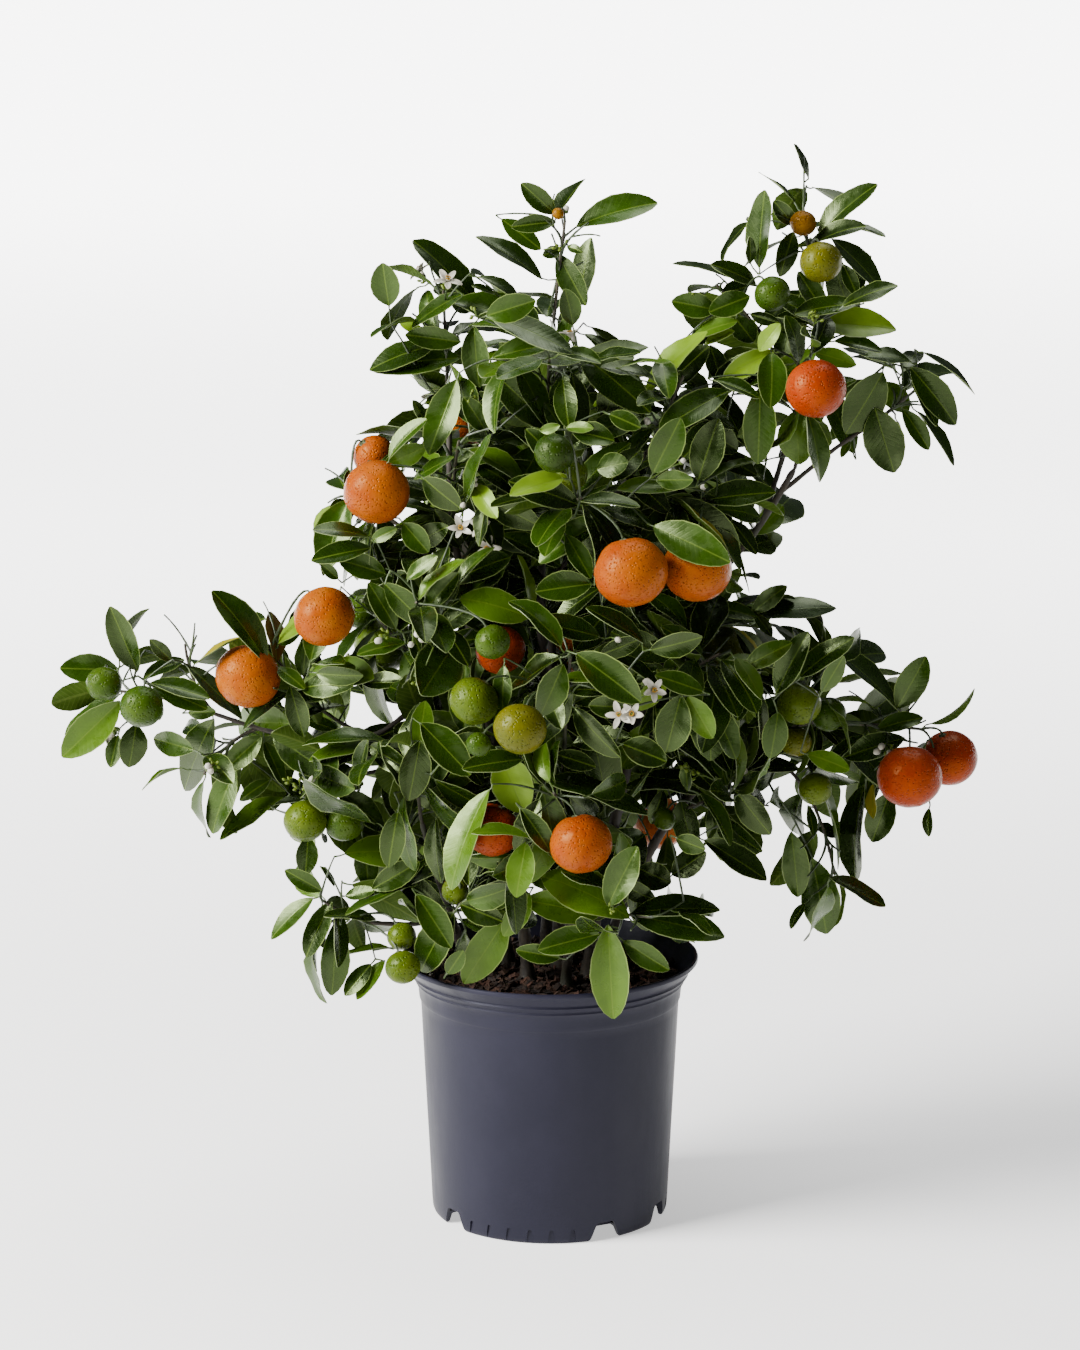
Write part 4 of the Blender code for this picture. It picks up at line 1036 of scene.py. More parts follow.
def leafWay(direction, point, turn, atTip, centre, crownWay, rng):
    # outward and up, with the blade turned to show its face
    lean = rng.uniform(*leafForm["tipLean" if atTip else "sideLean"])
    along = direction * math.cos(lean) + sideways(direction, turn) * math.sin(lean)
    way = (point + along * 0.02 - centre).normalized() * 0.6 + crownWay * 0.8
    facing = up * rng.uniform(0.2, 1.0) + way
    facing += scattered(rng) * 0.85
    facing.normalize()
    along -= facing * along.dot(facing) * rng.uniform(0.3, 1.0)
    along.z += rng.uniform(-0.45, 0.40)
    along.normalize()
    return along, (facing - along * facing.dot(along)).normalized()


tones = ["deep", "dark", "mid", "bright", "young", "yellowing", "bronze"]
toneShares = {
    "old": (0.34, 0.40, 0.22, 0.04, 0.0, 0.0, 0.0),
    "tip": (0.10, 0.34, 0.36, 0.15, 0.04, 0.006, 0.004),
}


def pickTone(atTip, rng):
    shares = toneShares["tip" if atTip else "old"]
    return rng.choices(range(len(tones)), weights=shares)[0]


def growSprig(name, rng, taken):
    mass = massPlan[name]
    start, direction = pointAt(limbs[mass["limb"]], mass["along"])
    centre = Vector(mass["centre"])
    if mass["along"] == 1.0:
        start = start + direction * bark["clear"]
    outward = (centre - start).normalized()
    for attempt in range(80):
        wander = scattered(rng) * 0.002 * attempt
        end = centre + outward * min(mass["radii"]) * 0.42 + wander
        control = start + (direction + outward * 1.4).normalized() * (end - start).length * 0.45
        path = bentPath(start, control + wander * 1.5, end, 8)
        if hasRoom("sprig", path, taken, mass["limb"]):
            break
    return path


def growShoot(name, sprig, end, rng, taken, pieces, shares):
    best = None
    for share in shares:
        start, direction = pointAt(sprig, share)
        worth = abs(direction.angle(end - start, 0.0) - 0.8) + rng.uniform(0, 0.25)
        if best is None or worth < best[0]:
            best = (worth, start, direction)
    _, start, direction = best
    path = bentPath(start, start + direction * (end - start).length * 0.4, end, pieces)
    return path if hasRoom("shoot", path, taken, name + "/twig") else None


def growStalk(name, sprig, ball, radius, taken):
    best = None
    for share in (0.3, 0.4, 0.5, 0.6, 0.7, 0.8, 0.9, 0.98):
        start, _ = pointAt(sprig, share)
        top = ball + (up * 0.72 + (start - ball).normalized() * 0.5).normalized() * radius * 0.90
        way = top + (top - ball).normalized() * min(0.012, (start - top).length * 0.4)
        stalk = bentPath(start, way, top, 7)
        isOpen = hasRoom("stalk", stalk, taken, name + "/twig", name + "/fruit")
        worth = (start - ball).length + (0.0 if isOpen else 0.5)
        if best is None or worth < best[0]:
            best = (worth, stalk)
    return best[1]


def growMassTwigs(name, index, taken):
    # the sprig, fruit stalks, shoots and finer side shoots of a mass
    rng = random.Random(growth["seed"] * 1000 + index)
    mass = massPlan[name]
    centre = Vector(mass["centre"])
    sprig = growSprig(name, rng, taken)
    twigs = [newTwig("sprig", sprig, name, taken)]
    fruit = []
    for x, y, z, radius, kind in mass.get("fruit", []):
        ball = Vector((x, y, z))
        stalk = growStalk(name, sprig, ball, radius, taken)
        twigs.append(newTwig("stalk", stalk, name, taken))
        axis = (stalk[-1] - ball).normalized()
        fruit.append({"centre": ball, "radius": radius, "kind": kind, "axis": axis})
    turn = rng.uniform(0, 6.28)
    wanted = mass["shoots"] + growth["moreShoots"]
    for i in range(wanted):
        height = 1 - 2 * (i + 0.5) / wanted
        level = math.sqrt(max(0.0, 1 - height * height))
        for attempt in range(16):
            bearing = turn + growth["goldenAngle"] * i + rng.uniform(-0.6, 0.6) * (attempt + 0.3)
            way = Vector((math.cos(bearing) * level, math.sin(bearing) * level, height))
            way = way.lerp((centre - sprig[0]).normalized(), 0.25)
            end = centre + Vector(way[k] * mass["radii"][k] * rng.uniform(0.45, 0.72) for k in range(3))
            shoot = growShoot(name, sprig, end, rng, taken, 7, (0.35, 0.5, 0.62, 0.74, 0.86, 0.95))
            if shoot:
                twigs.append(newTwig("shoot", shoot, name, taken))
                break
    for shoot in [twig for twig in twigs if twig["sort"] == "shoot"][:growth["sideShoots"]]:
        share = rng.uniform(0.35, 0.6)
        start, direction = pointAt(shoot["path"], share)
        out = sideways(direction, rng.uniform(0, 6.28)) + direction * 0.8 + up * 0.3
        end = start + out.normalized() * rng.uniform(0.018, 0.030)
        side = bentPath(start, start.lerp(end, 0.5) + direction * 0.004, end, 5)
        if inOwnSpace(end, name) and hasRoom("side", side, taken, name + "/twig"):
            twigs.append(newTwig("side", side, name, taken))
    return twigs, fruit


def wouldHide(place, guarded):
    # true where a leaf here would stand before something that the photograph shows, or fill its sky
    u, v = toPhoto(place)
    sky = ((u - skyGrid[:, 0]) / skyGrid[:, 2]) ** 2 + ((v - skyGrid[:, 1]) / skyGrid[:, 3]) ** 2
    if (sky < 1).any():
        return True
    near = np.hypot(u - guarded[:, 0], v - guarded[:, 1]) < guarded[:, 2]
    return bool((near & (place.y < guarded[:, 3])).any())


def fruitPlaces(grown, more):
    # the pixel, reach in pixels and depth of every fruit
    return [(*toPhoto(fruit["centre"]), fruit["radius"] / photoView["pixel"] + more, fruit["centre"].y)
            for parts in grown.values() for fruit in parts["fruit"]]


def guardedPlaces(grown):
    guarded = fruitPlaces(grown, 6)
    for parts in grown.values():
        for leaf in parts["leaves"]:
            middle = leaf["root"] + leaf["along"] * leaf["length"] * 0.5
            guarded.append((*toPhoto(middle), 20, middle.y))
    return np.array(guarded)


def growLeaves(name, twig, rng, taken, middles, guarded, slack=0.0):
    mass = massPlan[name]
    centre = Vector(mass["centre"])
    crownWay = (centre - growth["crownMiddle"]).normalized()
    first = twig["leavesFrom"]
    count = max(1, round((1 - first) * pathLength(twig["path"]) / mass.get("leafStep", growth["leafStep"])))
    places = [(first + (1 - first) * i / count, False) for i in range(count)]
    places += [(1.0 - 0.05 * i, True) for i in range(growth["tipLeaves"])]
    turn = rng.uniform(0, 6.28)
    own = (name, name + "/twig")
    made = []
    for share, atTip in places:
        turn += growth["goldenAngle"]
        if not slack and rng.random() > ruledShares.get(name, 1.0):
            continue
        point, direction = pointAt(twig["path"], min(share, 0.99))
        best = None
        for _ in range(growth["tries"]):
            bearing = turn + rng.uniform(-1.2, 1.2)
            along, normal = leafWay(direction, point, bearing, atTip, centre, crownWay, rng)
            length = rng.uniform(*leafForm["lengths"])
            root = point + along * rng.uniform(*leafForm["petioles"]) + up * rng.uniform(0.0, 0.002)
            leaf = newLeaf(root, along, normal, length, rng, pickTone(atTip, rng))
            shape = bladeShape(leaf)
            middle, tip = (Vector(shape[0][i]) for i in (proxyMiddle, proxyTip))
            if not (inOwnSpace(middle, name, slack) and inOwnSpace(tip, name, slack)):
                continue
            if wouldHide(middle, guarded) or wouldHide(tip, guarded):
                continue
            room = middles.nearest(middle)
            if best and room < best[0]:
                continue
            if taken.isFree(shape, *own):
                best = (room, middle, leaf, shape)
        if best:
            _, middle, leaf, shape = best
            taken.add(shape, name + "/leaf")
            middles.append(middle)
            leaf["node"] = point
            made.append(leaf)
    return made


# twigs and leaves that the photograph shows one by one, by the mass they belong to: a twig's places,
# and a leaf's foot, tip and width, all in the photograph's pixels, with its tone, which holds painted light
# and shade besides the leaf's own green: brighter for lit leaves, deeper for shaded ones
shownTwigs = {
    "top_spray": [((551, 305), (560, 267), (562, 247), (565, 236), (562, 219)), ((565, 236), (576, 227))],
    "top_left": [((435, 394), (419, 372), (401, 339), (391, 324), (389, 307))],
    "left_arm_tip": [((165, 692), (150, 684), (138, 676), (124, 680))],
    "right_outer": [((862, 395), (884, 366), (906, 368), (912, 380))],
    "right_arm_tip": [((838, 723), (867, 723), (896, 738), (918, 743)), ((867, 723), (898, 711))],
    "right_hanging": [((769, 783), (791, 814), (812, 857)), ((791, 814), (813, 830))],
}
shownLeaves = {
    "top_spray": [
        (555, 214, 524, 185, 22, "dark"), (556, 222, 514, 225, 18, "dark"), (576, 227, 650, 192, 24, "mid"),
        (558, 254, 584, 304, 28, "dark"), (560, 249, 545, 255, 13, "dark"), (567, 246, 580, 250, 9, "dark"),
        (542, 279, 484, 231, 22, "dark"),
    ],
    "top_left": [
        (475, 303, 425, 235, 25, "dark"), (464, 294, 408, 316, 12, "mid"), (495, 294, 474, 284, 9, "mid"),
        (389, 306, 382, 266, 30, "mid"), (460, 358, 372, 362, 28, "mid"), (461, 342, 408, 335, 24, "mid"),
        (474, 326, 477, 386, 31, "mid"), (475, 307, 453, 302, 20, "dark"),
        (424, 332, 401, 322, 10, "young"), (441, 368, 410, 349, 7, "young"),
    ],
    "top_centre": [
        (486, 316, 532, 301, 28, "mid"), (491, 317, 575, 342, 30, "dark"), (492, 358, 557, 338, 24, "mid"),
        (515, 356, 578, 357, 17, "mid"), (491, 370, 551, 426, 36, "dark"), (515, 362, 552, 420, 26, "mid"),
        (457, 379, 428, 452, 34, "mid"), (486, 432, 467, 399, 22, "mid"), (573, 325, 567, 292, 24, "mid"),
    ],
    "right_shoulder": [
        (562, 417, 595, 361, 22, "mid"), (579, 353, 648, 402, 34, "dark"),
        (622, 366, 668, 353, 9, "bright"), (644, 396, 692, 324, 28, "young"),
        (604, 420, 618, 378, 28, "deep"),
    ],
    "right_crest": [
        (818, 238, 865, 177, 22, "dark"), (759, 268, 761, 193, 15, "dark"), (750, 264, 752, 239, 9, "dark"),
        (793, 225, 777, 203, 18, "dark"), (832, 239, 889, 284, 19, "dark"),
        (843, 264, 857, 294, 16, "dark"), (797, 246, 817, 240, 8, "deep"),
        (805, 322, 894, 324, 25, "young"), (834, 341, 881, 345, 12, "mid"),
        (812, 352, 855, 362, 20, "bright"), (809, 180, 799, 144, 4, "deep"),
    ],
    "right_crest_left": [
        (744, 281, 679, 253, 17, "dark"), (756, 284, 718, 261, 17, "dark"),
        (748, 286, 723, 294, 20, "dark"), (750, 296, 711, 311, 25, "mid"), (716, 310, 675, 301, 26, "mid"),
        (688, 339, 732, 316, 15, "bright"), (704, 345, 732, 330, 10, "young"),
        (735, 318, 753, 340, 26, "dark"), (750, 314, 777, 323, 14, "deep"),
        (710, 345, 722, 381, 22, "dark"), (663, 389, 706, 347, 24, "deep"),
        (660, 391, 691, 329, 8, "bright"),
    ],
    "right_crown": [
        (774, 351, 725, 376, 23, "young"), (765, 388, 812, 351, 24, "bright"),
        (759, 351, 776, 325, 18, "young"), (714, 380, 759, 393, 15, "dark"),
        (760, 387, 759, 462, 34, "mid"), (796, 410, 798, 463, 40, "bright"),
        (729, 391, 660, 421, 22, "dark"), (722, 421, 684, 456, 32, "dark"),
        (760, 461, 707, 470, 14, "bright"),
    ],
    "right_outer": [
        (883, 372, 849, 433, 42, "dark"), (884, 382, 906, 411, 26, "bright"),
        (875, 408, 893, 471, 42, "dark"), (902, 409, 931, 447, 18, "mid"), (910, 367, 960, 422, 32, "dark"),
        (912, 385, 938, 424, 16, "dark"), (850, 441, 841, 454, 8, "bright"),
    ],
    "left_arm_tip": [
        (138, 671, 110, 610, 32, "dark"), (172, 661, 152, 641, 14, "dark"),
        (143, 679, 181, 654, 19, "dark"), (119, 670, 62, 668, 32, "mid"), (120, 694, 62, 728, 12, "mid"),
        (120, 701, 64, 757, 38, "bright"), (118, 735, 110, 766, 18, "mid"),
        (136, 724, 131, 767, 30, "dark"),
    ],
    "left_arm_outer": [
        (150, 683, 208, 693, 19, "dark"), (152, 686, 206, 707, 24, "mid"), (188, 666, 244, 713, 27, "dark"),
        (214, 719, 175, 791, 35, "dark"), (188, 713, 213, 712, 15, "mid"),
    ],
    "left_arm_inner": [
        (266, 663, 226, 588, 26, "dark"), (276, 663, 278, 610, 13, "bronze"),
        (241, 637, 195, 659, 12, "yellowing"), (257, 657, 231, 649, 10, "dark"),
        (251, 647, 239, 630, 7, "dark"), (276, 667, 304, 683, 16, "mid"), (303, 676, 306, 640, 22, "mid"),
        (280, 645, 300, 627, 14, "mid"), (290, 686, 304, 737, 24, "dark"), (295, 694, 326, 693, 18, "dark"),

    ],
    "left_arm_middle": [
        (262, 736, 226, 768, 27, "mid"), (236, 768, 205, 832, 26, "mid"), (272, 733, 328, 776, 34, "dark"),
        (264, 741, 284, 783, 15, "mid"), (284, 797, 216, 829, 12, "bright"),
        (270, 780, 240, 798, 16, "mid"),
    ],
    "right_flank": [
        (776, 694, 804, 634, 26, "dark"), (800, 677, 846, 634, 24, "dark"), (822, 692, 843, 658, 20, "mid"),
        (778, 712, 772, 758, 27, "mid"), (807, 754, 849, 767, 20, "bright"),
    ],
    "right_arm_tip": [
        (899, 711, 845, 643, 26, "dark"), (897, 708, 925, 661, 32, "mid"), (876, 730, 919, 714, 20, "mid"),
        (905, 738, 846, 754, 28, "dark"), (864, 785, 839, 879, 30, "deep"),
        (874, 783, 869, 817, 8, "yellowing"), (890, 792, 872, 842, 32, "dark"),
        (929, 808, 926, 835, 11, "dark"),
    ],
    "right_hanging": [
        (814, 773, 859, 860, 20, "bright"), (815, 828, 841, 833, 16, "mid"),
        (808, 805, 815, 835, 8, "dark"), (791, 832, 800, 897, 26, "mid"), (812, 858, 828, 935, 38, "mid"),
        (829, 877, 885, 903, 15, "dark"), (805, 903, 789, 926, 10, "mid"),
    ],
    "right_low": [
        (735, 790, 769, 835, 30, "deep"), (704, 840, 767, 876, 30, "deep"), (700, 793, 738, 838, 13, "mid"),
        (681, 800, 690, 850, 30, "dark"), (688, 791, 685, 765, 10, "mid"), (672, 875, 704, 853, 28, "deep"),
        (663, 790, 653, 823, 20, "dark"), (638, 868, 669, 883, 30, "deep"),
    ],
    "left_shoulder": [
        (389, 459, 416, 415, 16, "mid"), (425, 423, 416, 402, 9, "dark"),
        (427, 446, 388, 465, 22, "bright"), (450, 517, 374, 524, 12, "bright"),
        (369, 537, 317, 521, 17, "dark"), (371, 548, 313, 557, 24, "dark"), (386, 574, 341, 560, 26, "mid"),
        (403, 523, 427, 551, 25, "mid"), (371, 541, 393, 529, 13, "mid"), (414, 479, 450, 455, 15, "mid"),
        (338, 579, 323, 565, 12, "mid"),
    ],
    "left_shoulder_outer": [(350, 470, 346, 486, 9, "deep"), (345, 500, 331, 512, 14, "mid")],
    "left_flank": [
        (418, 600, 453, 554, 17, "bright"), (407, 579, 433, 556, 14, "mid"),
        (425, 610, 456, 574, 18, "mid"), (435, 634, 476, 597, 23, "dark"), (384, 583, 426, 626, 26, "dark"),
        (396, 629, 372, 585, 19, "mid"), (407, 643, 358, 648, 15, "mid"), (465, 504, 483, 435, 21, "mid"),
        (423, 478, 458, 509, 28, "deep"), (528, 618, 531, 557, 12, "young"),
        (529, 645, 492, 610, 24, "mid"), (480, 738, 430, 716, 28, "bright"),
    ],
    "heart_upper": [
        (543, 546, 486, 530, 34, "mid"), (613, 518, 534, 548, 32, "mid"), (572, 431, 612, 438, 26, "dark"),
        (566, 428, 591, 426, 8, "bright"), (540, 431, 557, 427, 10, "bright"),
        (580, 501, 638, 499, 17, "dark"), (600, 508, 655, 521, 12, "mid"), (653, 526, 724, 557, 36, "mid"),
        (653, 473, 679, 422, 33, "mid"), (656, 480, 691, 480, 20, "mid"), (609, 414, 639, 426, 19, "dark"),
        (597, 469, 626, 462, 26, "mid"), (592, 584, 538, 590, 34, "dark"), (600, 637, 538, 620, 20, "dark"),

    ],
    "right_flank_upper": [
        (678, 498, 742, 552, 34, "deep"), (730, 520, 758, 551, 14, "deep"),
        (700, 501, 772, 488, 30, "dark"), (698, 481, 716, 422, 35, "deep"),
        (672, 497, 731, 549, 6, "yellowing"), (752, 612, 784, 587, 19, "mid"),
        (712, 607, 755, 613, 16, "mid"), (754, 613, 772, 634, 11, "dark"), (670, 612, 711, 626, 26, "deep"),

    ],
    "heart_middle": [
        (563, 664, 542, 716, 31, "mid"), (612, 684, 566, 671, 13, "bright"),
        (504, 665, 501, 711, 15, "mid"), (625, 707, 591, 706, 24, "dark"), (704, 692, 658, 675, 18, "mid"),
        (681, 695, 666, 752, 38, "dark"), (688, 696, 711, 738, 26, "bright"),
        (622, 744, 665, 760, 30, "deep"), (600, 655, 640, 640, 20, "deep"),
        (650, 650, 700, 640, 26, "deep"),
    ],
    "heart_low": [
        (545, 780, 650, 793, 34, "mid"), (542, 786, 558, 858, 34, "mid"), (499, 753, 524, 811, 44, "young"),
        (529, 838, 476, 823, 13, "bright"), (526, 842, 515, 896, 29, "bright"),
        (555, 754, 594, 766, 20, "deep"), (489, 790, 436, 881, 20, "bright"),
        (520, 808, 553, 850, 24, "dark"),
    ],
    "left_low": [
        (387, 741, 309, 746, 20, "bright"), (388, 742, 306, 726, 9, "mid"), (336, 791, 390, 827, 30, "mid"),
        (363, 838, 370, 887, 26, "mid"), (308, 836, 306, 874, 24, "dark"),
    ],
    "left_heart_low": [
        (398, 811, 387, 868, 25, "dark"), (436, 818, 432, 883, 18, "dark"),
        (420, 740, 410, 800, 34, "deep"),
    ],
    "left_skirt": [
        (322, 891, 288, 872, 18, "mid"), (320, 866, 336, 883, 9, "mid"), (313, 898, 266, 932, 18, "mid"),
        (332, 902, 302, 954, 22, "dark"), (334, 924, 337, 996, 26, "mid"), (336, 910, 346, 963, 16, "dark"),
        (371, 964, 345, 994, 20, "dark"), (385, 960, 356, 997, 12, "bright"),
        (390, 948, 332, 951, 14, "bright"), (376, 919, 329, 909, 15, "dark"),
        (411, 886, 344, 905, 14, "mid"), (372, 889, 416, 865, 26, "dark"), (345, 896, 373, 890, 12, "mid"),
    ],
    "front_skirt_left": [
        (416, 894, 451, 946, 30, "mid"), (460, 904, 501, 921, 26, "deep"),
        (507, 917, 465, 983, 38, "bright"), (530, 893, 505, 937, 24, "bright"),
        (447, 974, 462, 954, 18, "mid"),
    ],
    "front_skirt_right": [
        (608, 906, 634, 850, 36, "mid"), (631, 914, 715, 897, 27, "dark"), (632, 916, 722, 929, 36, "mid"),
        (608, 925, 612, 1020, 43, "bright"), (623, 941, 667, 970, 24, "mid"),
        (601, 915, 529, 900, 36, "bright"), (600, 934, 540, 948, 32, "mid"),
        (560, 958, 519, 950, 18, "mid"), (676, 838, 703, 850, 20, "dark"),
    ],
}
# the share of the ruled leaves that these masses keep beside their shown ones
ruledShares = {
    "top_spray": 0.12, "top_left": 0.35, "right_crest": 0.3, "right_crest_left": 0.5, "right_outer": 0.3,
    "left_arm_tip": 0.25, "left_arm_outer": 0.4, "left_arm_middle": 0.6, "right_arm_tip": 0.35,
    "right_hanging": 0.3, "left_skirt": 0.5, "front_skirt_left": 0.7, "front_skirt_right": 0.4,
    "left_low": 0.7, "left_shoulder": 0.8, "left_flank": 0.9, "heart_upper": 0.8, "heart_low": 0.8,
    "right_crown": 0.8, "right_shoulder": 0.8,
}
# patches of sky in the photograph that no ruled leaf fills: middle and half-widths, in pixels
skyPatches = [
    (640, 272, 52, 62), (450, 190, 70, 42), (320, 330, 52, 90), (235, 455, 95, 115), (190, 905, 72, 62),
    (862, 548, 84, 62), (768, 938, 34, 52), (950, 880, 60, 62), (940, 290, 42, 60), (715, 200, 38, 44),
    (397, 708, 22, 14), (905, 610, 40, 36), (262, 860, 30, 30), (60, 600, 40, 50), (600, 150, 60, 30),
    (300, 570, 20, 26), (735, 905, 14, 24), (835, 560, 45, 40), (600, 335, 36, 22), (193, 625, 40, 30),
    (505, 262, 26, 20), (773, 826, 18, 30), (827, 180, 14, 20), (712, 872, 24, 24), (398, 404, 24, 16),
    (540, 376, 14, 22), (334, 857, 18, 22), (203, 787, 22, 26), (868, 328, 16, 10), (852, 668, 18, 18),
    (945, 700, 16, 22), (821, 845, 10, 16), (900, 345, 14, 10), (295, 926, 18, 16), (249, 771, 14, 13),
    (440, 266, 10, 20), (791, 799, 10, 14), (404, 305, 8, 14), (534, 290, 12, 12), (955, 430, 14, 14),
    (941, 362, 18, 8), (777, 639, 10, 10), (365, 716, 20, 22), (858, 690, 16, 24), (281, 823, 12, 16),
    (229, 617, 14, 22), (439, 268, 16, 20), (168, 795, 10, 14),
]
skyGrid = np.array(skyPatches, dtype=float)


def carrierOf(u, v, twigs, backwards=120):
    # the place on a twig that shows nearest to a pixel, and how far off it is
    best = None
    for twig in twigs:
        if twig["sort"] == "stalk":
            continue
        for place in twig["path"][1:]:
            x, y = toPhoto(place)
            worth = math.hypot(x - u, y - v) + place.y * backwards
            if best is None or worth < best[0]:
                best = (worth, place)
    return best


def showTwig(places, twigs, name, taken):
    _, start = carrierOf(*places[0], twigs)
    path = [start] + [fromPhoto(u, v, start.y - 0.002) for u, v in places]
    if (path[1] - path[0]).length < 0.004:
        path.pop(1)
    return newTwig("shown", smoothPath(path, 0.008), name, taken)


# how far before its carrier a shown leaf may stand and how far its tip may lean, in millimetres, in the
# order in which they are tried
showSteps = {
    "front": (
        (0, 4, 8, -4, 12, -8, 16, 20, 25, 30, 36, 44, 54, 66, 80, -14, -20, -28),
        (8, 14, 2, 20, -6, 28, -14),
    ),
    "deep": ((-6, 2, -14, -24, 10, -36), (6, -8, 18)),
}
shownForm = {
    "lengthen": 1.03,
    "fullWidth": 0.44,
    "droop": (0.10, 0.50),
    "fold": (0.18, 0.62),
    "twist": (-0.3, 0.3),
    "turn": (-0.35, 0.35),
    "spurFrom": 0.009,
}


def shownBlade(root, tip, wide, tone, rng):
    # a leaf turned about its rib until it shows as narrow as in the photograph
    along = (tip - root).normalized()
    length = (tip - root).length * shownForm["lengthen"]
    width = wide * photoView["pixel"]
    full = max(width, length * shownForm["fullWidth"])
    turn = math.acos(min(1.0, width / full)) * rng.choice((-1, 1))
    facing = (cameraPlace() - root).normalized()
    facing = (facing - along * facing.dot(along)).normalized()
    normal = Matrix.Rotation(turn, 3, along) @ facing
    if turn and normal.z < facing.z:
        normal = Matrix.Rotation(-turn, 3, along) @ facing
    leaf = newLeaf(root, along, normal, length, rng, tones.index(tone), full / length)
    for measure in ("droop", "fold", "twist"):
        leaf[measure] = rng.uniform(*shownForm[measure])
    leaf["normal"] = Matrix.Rotation(rng.uniform(*shownForm["turn"]), 3, along) @ normal
    return leaf


def placeShown(plan, carrier, name, taken, balls, rng, steps):
    # the first depth and lean at which the leaf stands before the fruit and clear of all other forms
    u0, v0, u1, v1, wide, tone = plan
    u, v = (u0 + u1) / 2, (v0 + v1) / 2
    covered = [ball[3] for ball in balls if math.hypot(u - ball[0], v - ball[1]) < ball[2]]
    for shift in showSteps[steps][0]:
        depth = carrier.y - shift / 1000
        if any(depth > front for front in covered):
            continue
        root = fromPhoto(u0, v0, depth)
        for lean in showSteps[steps][1]:
            leaf = shownBlade(root, fromPhoto(u1, v1, depth - lean / 1000), wide, tone, rng)
            shape = bladeShape(leaf)
            if taken.isFree(shape, name + "/twig"):
                taken.add(shape, name + "/leaf")
                return leaf
    return None


def showLeaf(plan, carrier, name, taken, balls, rng, steps="front"):
    leaf = placeShown(plan, carrier, name, taken, balls, rng, steps)
    if not leaf:
        return None, None
    leaf["node"] = carrier
    gap = leaf["root"] - carrier
    if gap.length <= shownForm["spurFrom"]:
        return leaf, None
    end = leaf["root"] - leaf["along"] * 0.004
    leaf["node"] = end
    middle = carrier.lerp(end, 0.5) + up * gap.length * 0.08
    return leaf, newTwig("spur", bentPath(carrier, middle, end, 5), name, taken)


def keepLeaf(grown, name, leaf, twig, middles):
    grown[name]["leaves"].append(leaf)
    middles.append(Vector(bladeShape(leaf)[0][proxyMiddle]))
    if twig:
        grown[name]["twigs"].append(twig)


# patches of the photograph where the crown is closed: middle, half-widths in pixels, leaves to try
closedPatches = [
    (461, 424, 22, 22, 6), (655, 828, 22, 22, 6), (378, 645, 22, 18, 4), (722, 645, 20, 18, 4),
    (477, 540, 22, 20, 6), (590, 274, 8, 14, 1), (316, 715, 12, 10, 2), (518, 240, 16, 14, 1),
    (457, 255, 10, 12, 1), (655, 600, 30, 20, 4), (735, 440, 30, 30, 4), (700, 540, 30, 24, 3),
    (455, 420, 30, 30, 4), (565, 600, 30, 30, 4), (843, 299, 34, 20, 5), (793, 300, 20, 40, 8),
    (852, 779, 22, 18, 3), (513, 570, 22, 26, 7), (503, 503, 24, 20, 6), (761, 471, 18, 16, 3),
    (393, 690, 12, 20, 2), (835, 425, 14, 16, 2), (575, 735, 18, 26, 6), (640, 896, 18, 18, 4),
    (436, 529, 18, 16, 4), (623, 611, 24, 14, 4), (343, 757, 24, 12, 3), (756, 760, 14, 14, 3),
    (401, 555, 20, 16, 4), (427, 888, 18, 16, 4), (589, 274, 8, 16, 1), (686, 747, 16, 16, 3),
    (815, 737, 12, 16, 2), (846, 742, 16, 16, 2), (768, 660, 10, 14, 2), (648, 726, 14, 20, 4),
    (290, 799, 12, 10, 2), (555, 561, 16, 16, 4), (443, 702, 12, 16, 3), (607, 725, 14, 18, 4),
    (560, 640, 40, 50, 10), (620, 660, 50, 40, 8), (690, 660, 40, 40, 6), (470, 640, 36, 40, 6),
    (540, 440, 50, 50, 7), (620, 460, 50, 50, 7), (700, 450, 40, 40, 5), (470, 450, 40, 50, 5),
    (560, 520, 60, 40, 7), (470, 780, 40, 60, 8), (580, 800, 60, 50, 8), (680, 800, 40, 40, 5),
    (390, 780, 40, 50, 6), (360, 690, 30, 30, 4), (430, 840, 40, 40, 5), (600, 880, 50, 30, 4),
    (500, 880, 40, 30, 4), (640, 580, 50, 40, 6), (420, 600, 40, 40, 5),
]


def fillCrown(grown, taken, middles, guarded, balls):
    # more leaves deep in the crown, where the photograph shows no sky through it
    rng = random.Random(51)
    carriers = [(name, place) for name, parts in grown.items() for twig in parts["twigs"]
                if twig["sort"] != "stalk" for place in twig["path"][1:]]
    shown = np.array([(*toPhoto(place), place.y) for _, place in carriers])
    for u, v, wide, high, count in closedPatches:
        for _ in range(count):
            for _ in range(7):
                turn = rng.uniform(0, math.tau)
                reach = math.sqrt(rng.random())
                x = u + wide * reach * math.cos(turn)
                y = v + high * reach * math.sin(turn)
                way = rng.uniform(0, math.tau)
                half = rng.uniform(20, 36)
                ends = (x - math.cos(way) * half, y - math.sin(way) * half,
                        x + math.cos(way) * half, y + math.sin(way) * half)
                off = np.hypot(shown[:, 0] - ends[0], shown[:, 1] - ends[1]) - shown[:, 2] * 80
                name, carrier = carriers[int(off.argmin())]
                # mostly the darkest tones: painted shade for leaves deep in the crown, besides their own dark
                # green
                tone = rng.choice(("deep", "deep", "deep", "dark", "dark", "mid"))
                leaf, twig = placeFill(ends, half, tone, carrier, name, taken, guarded, balls, rng)
                if leaf:
                    keepLeaf(grown, name, leaf, twig, middles)
                    break


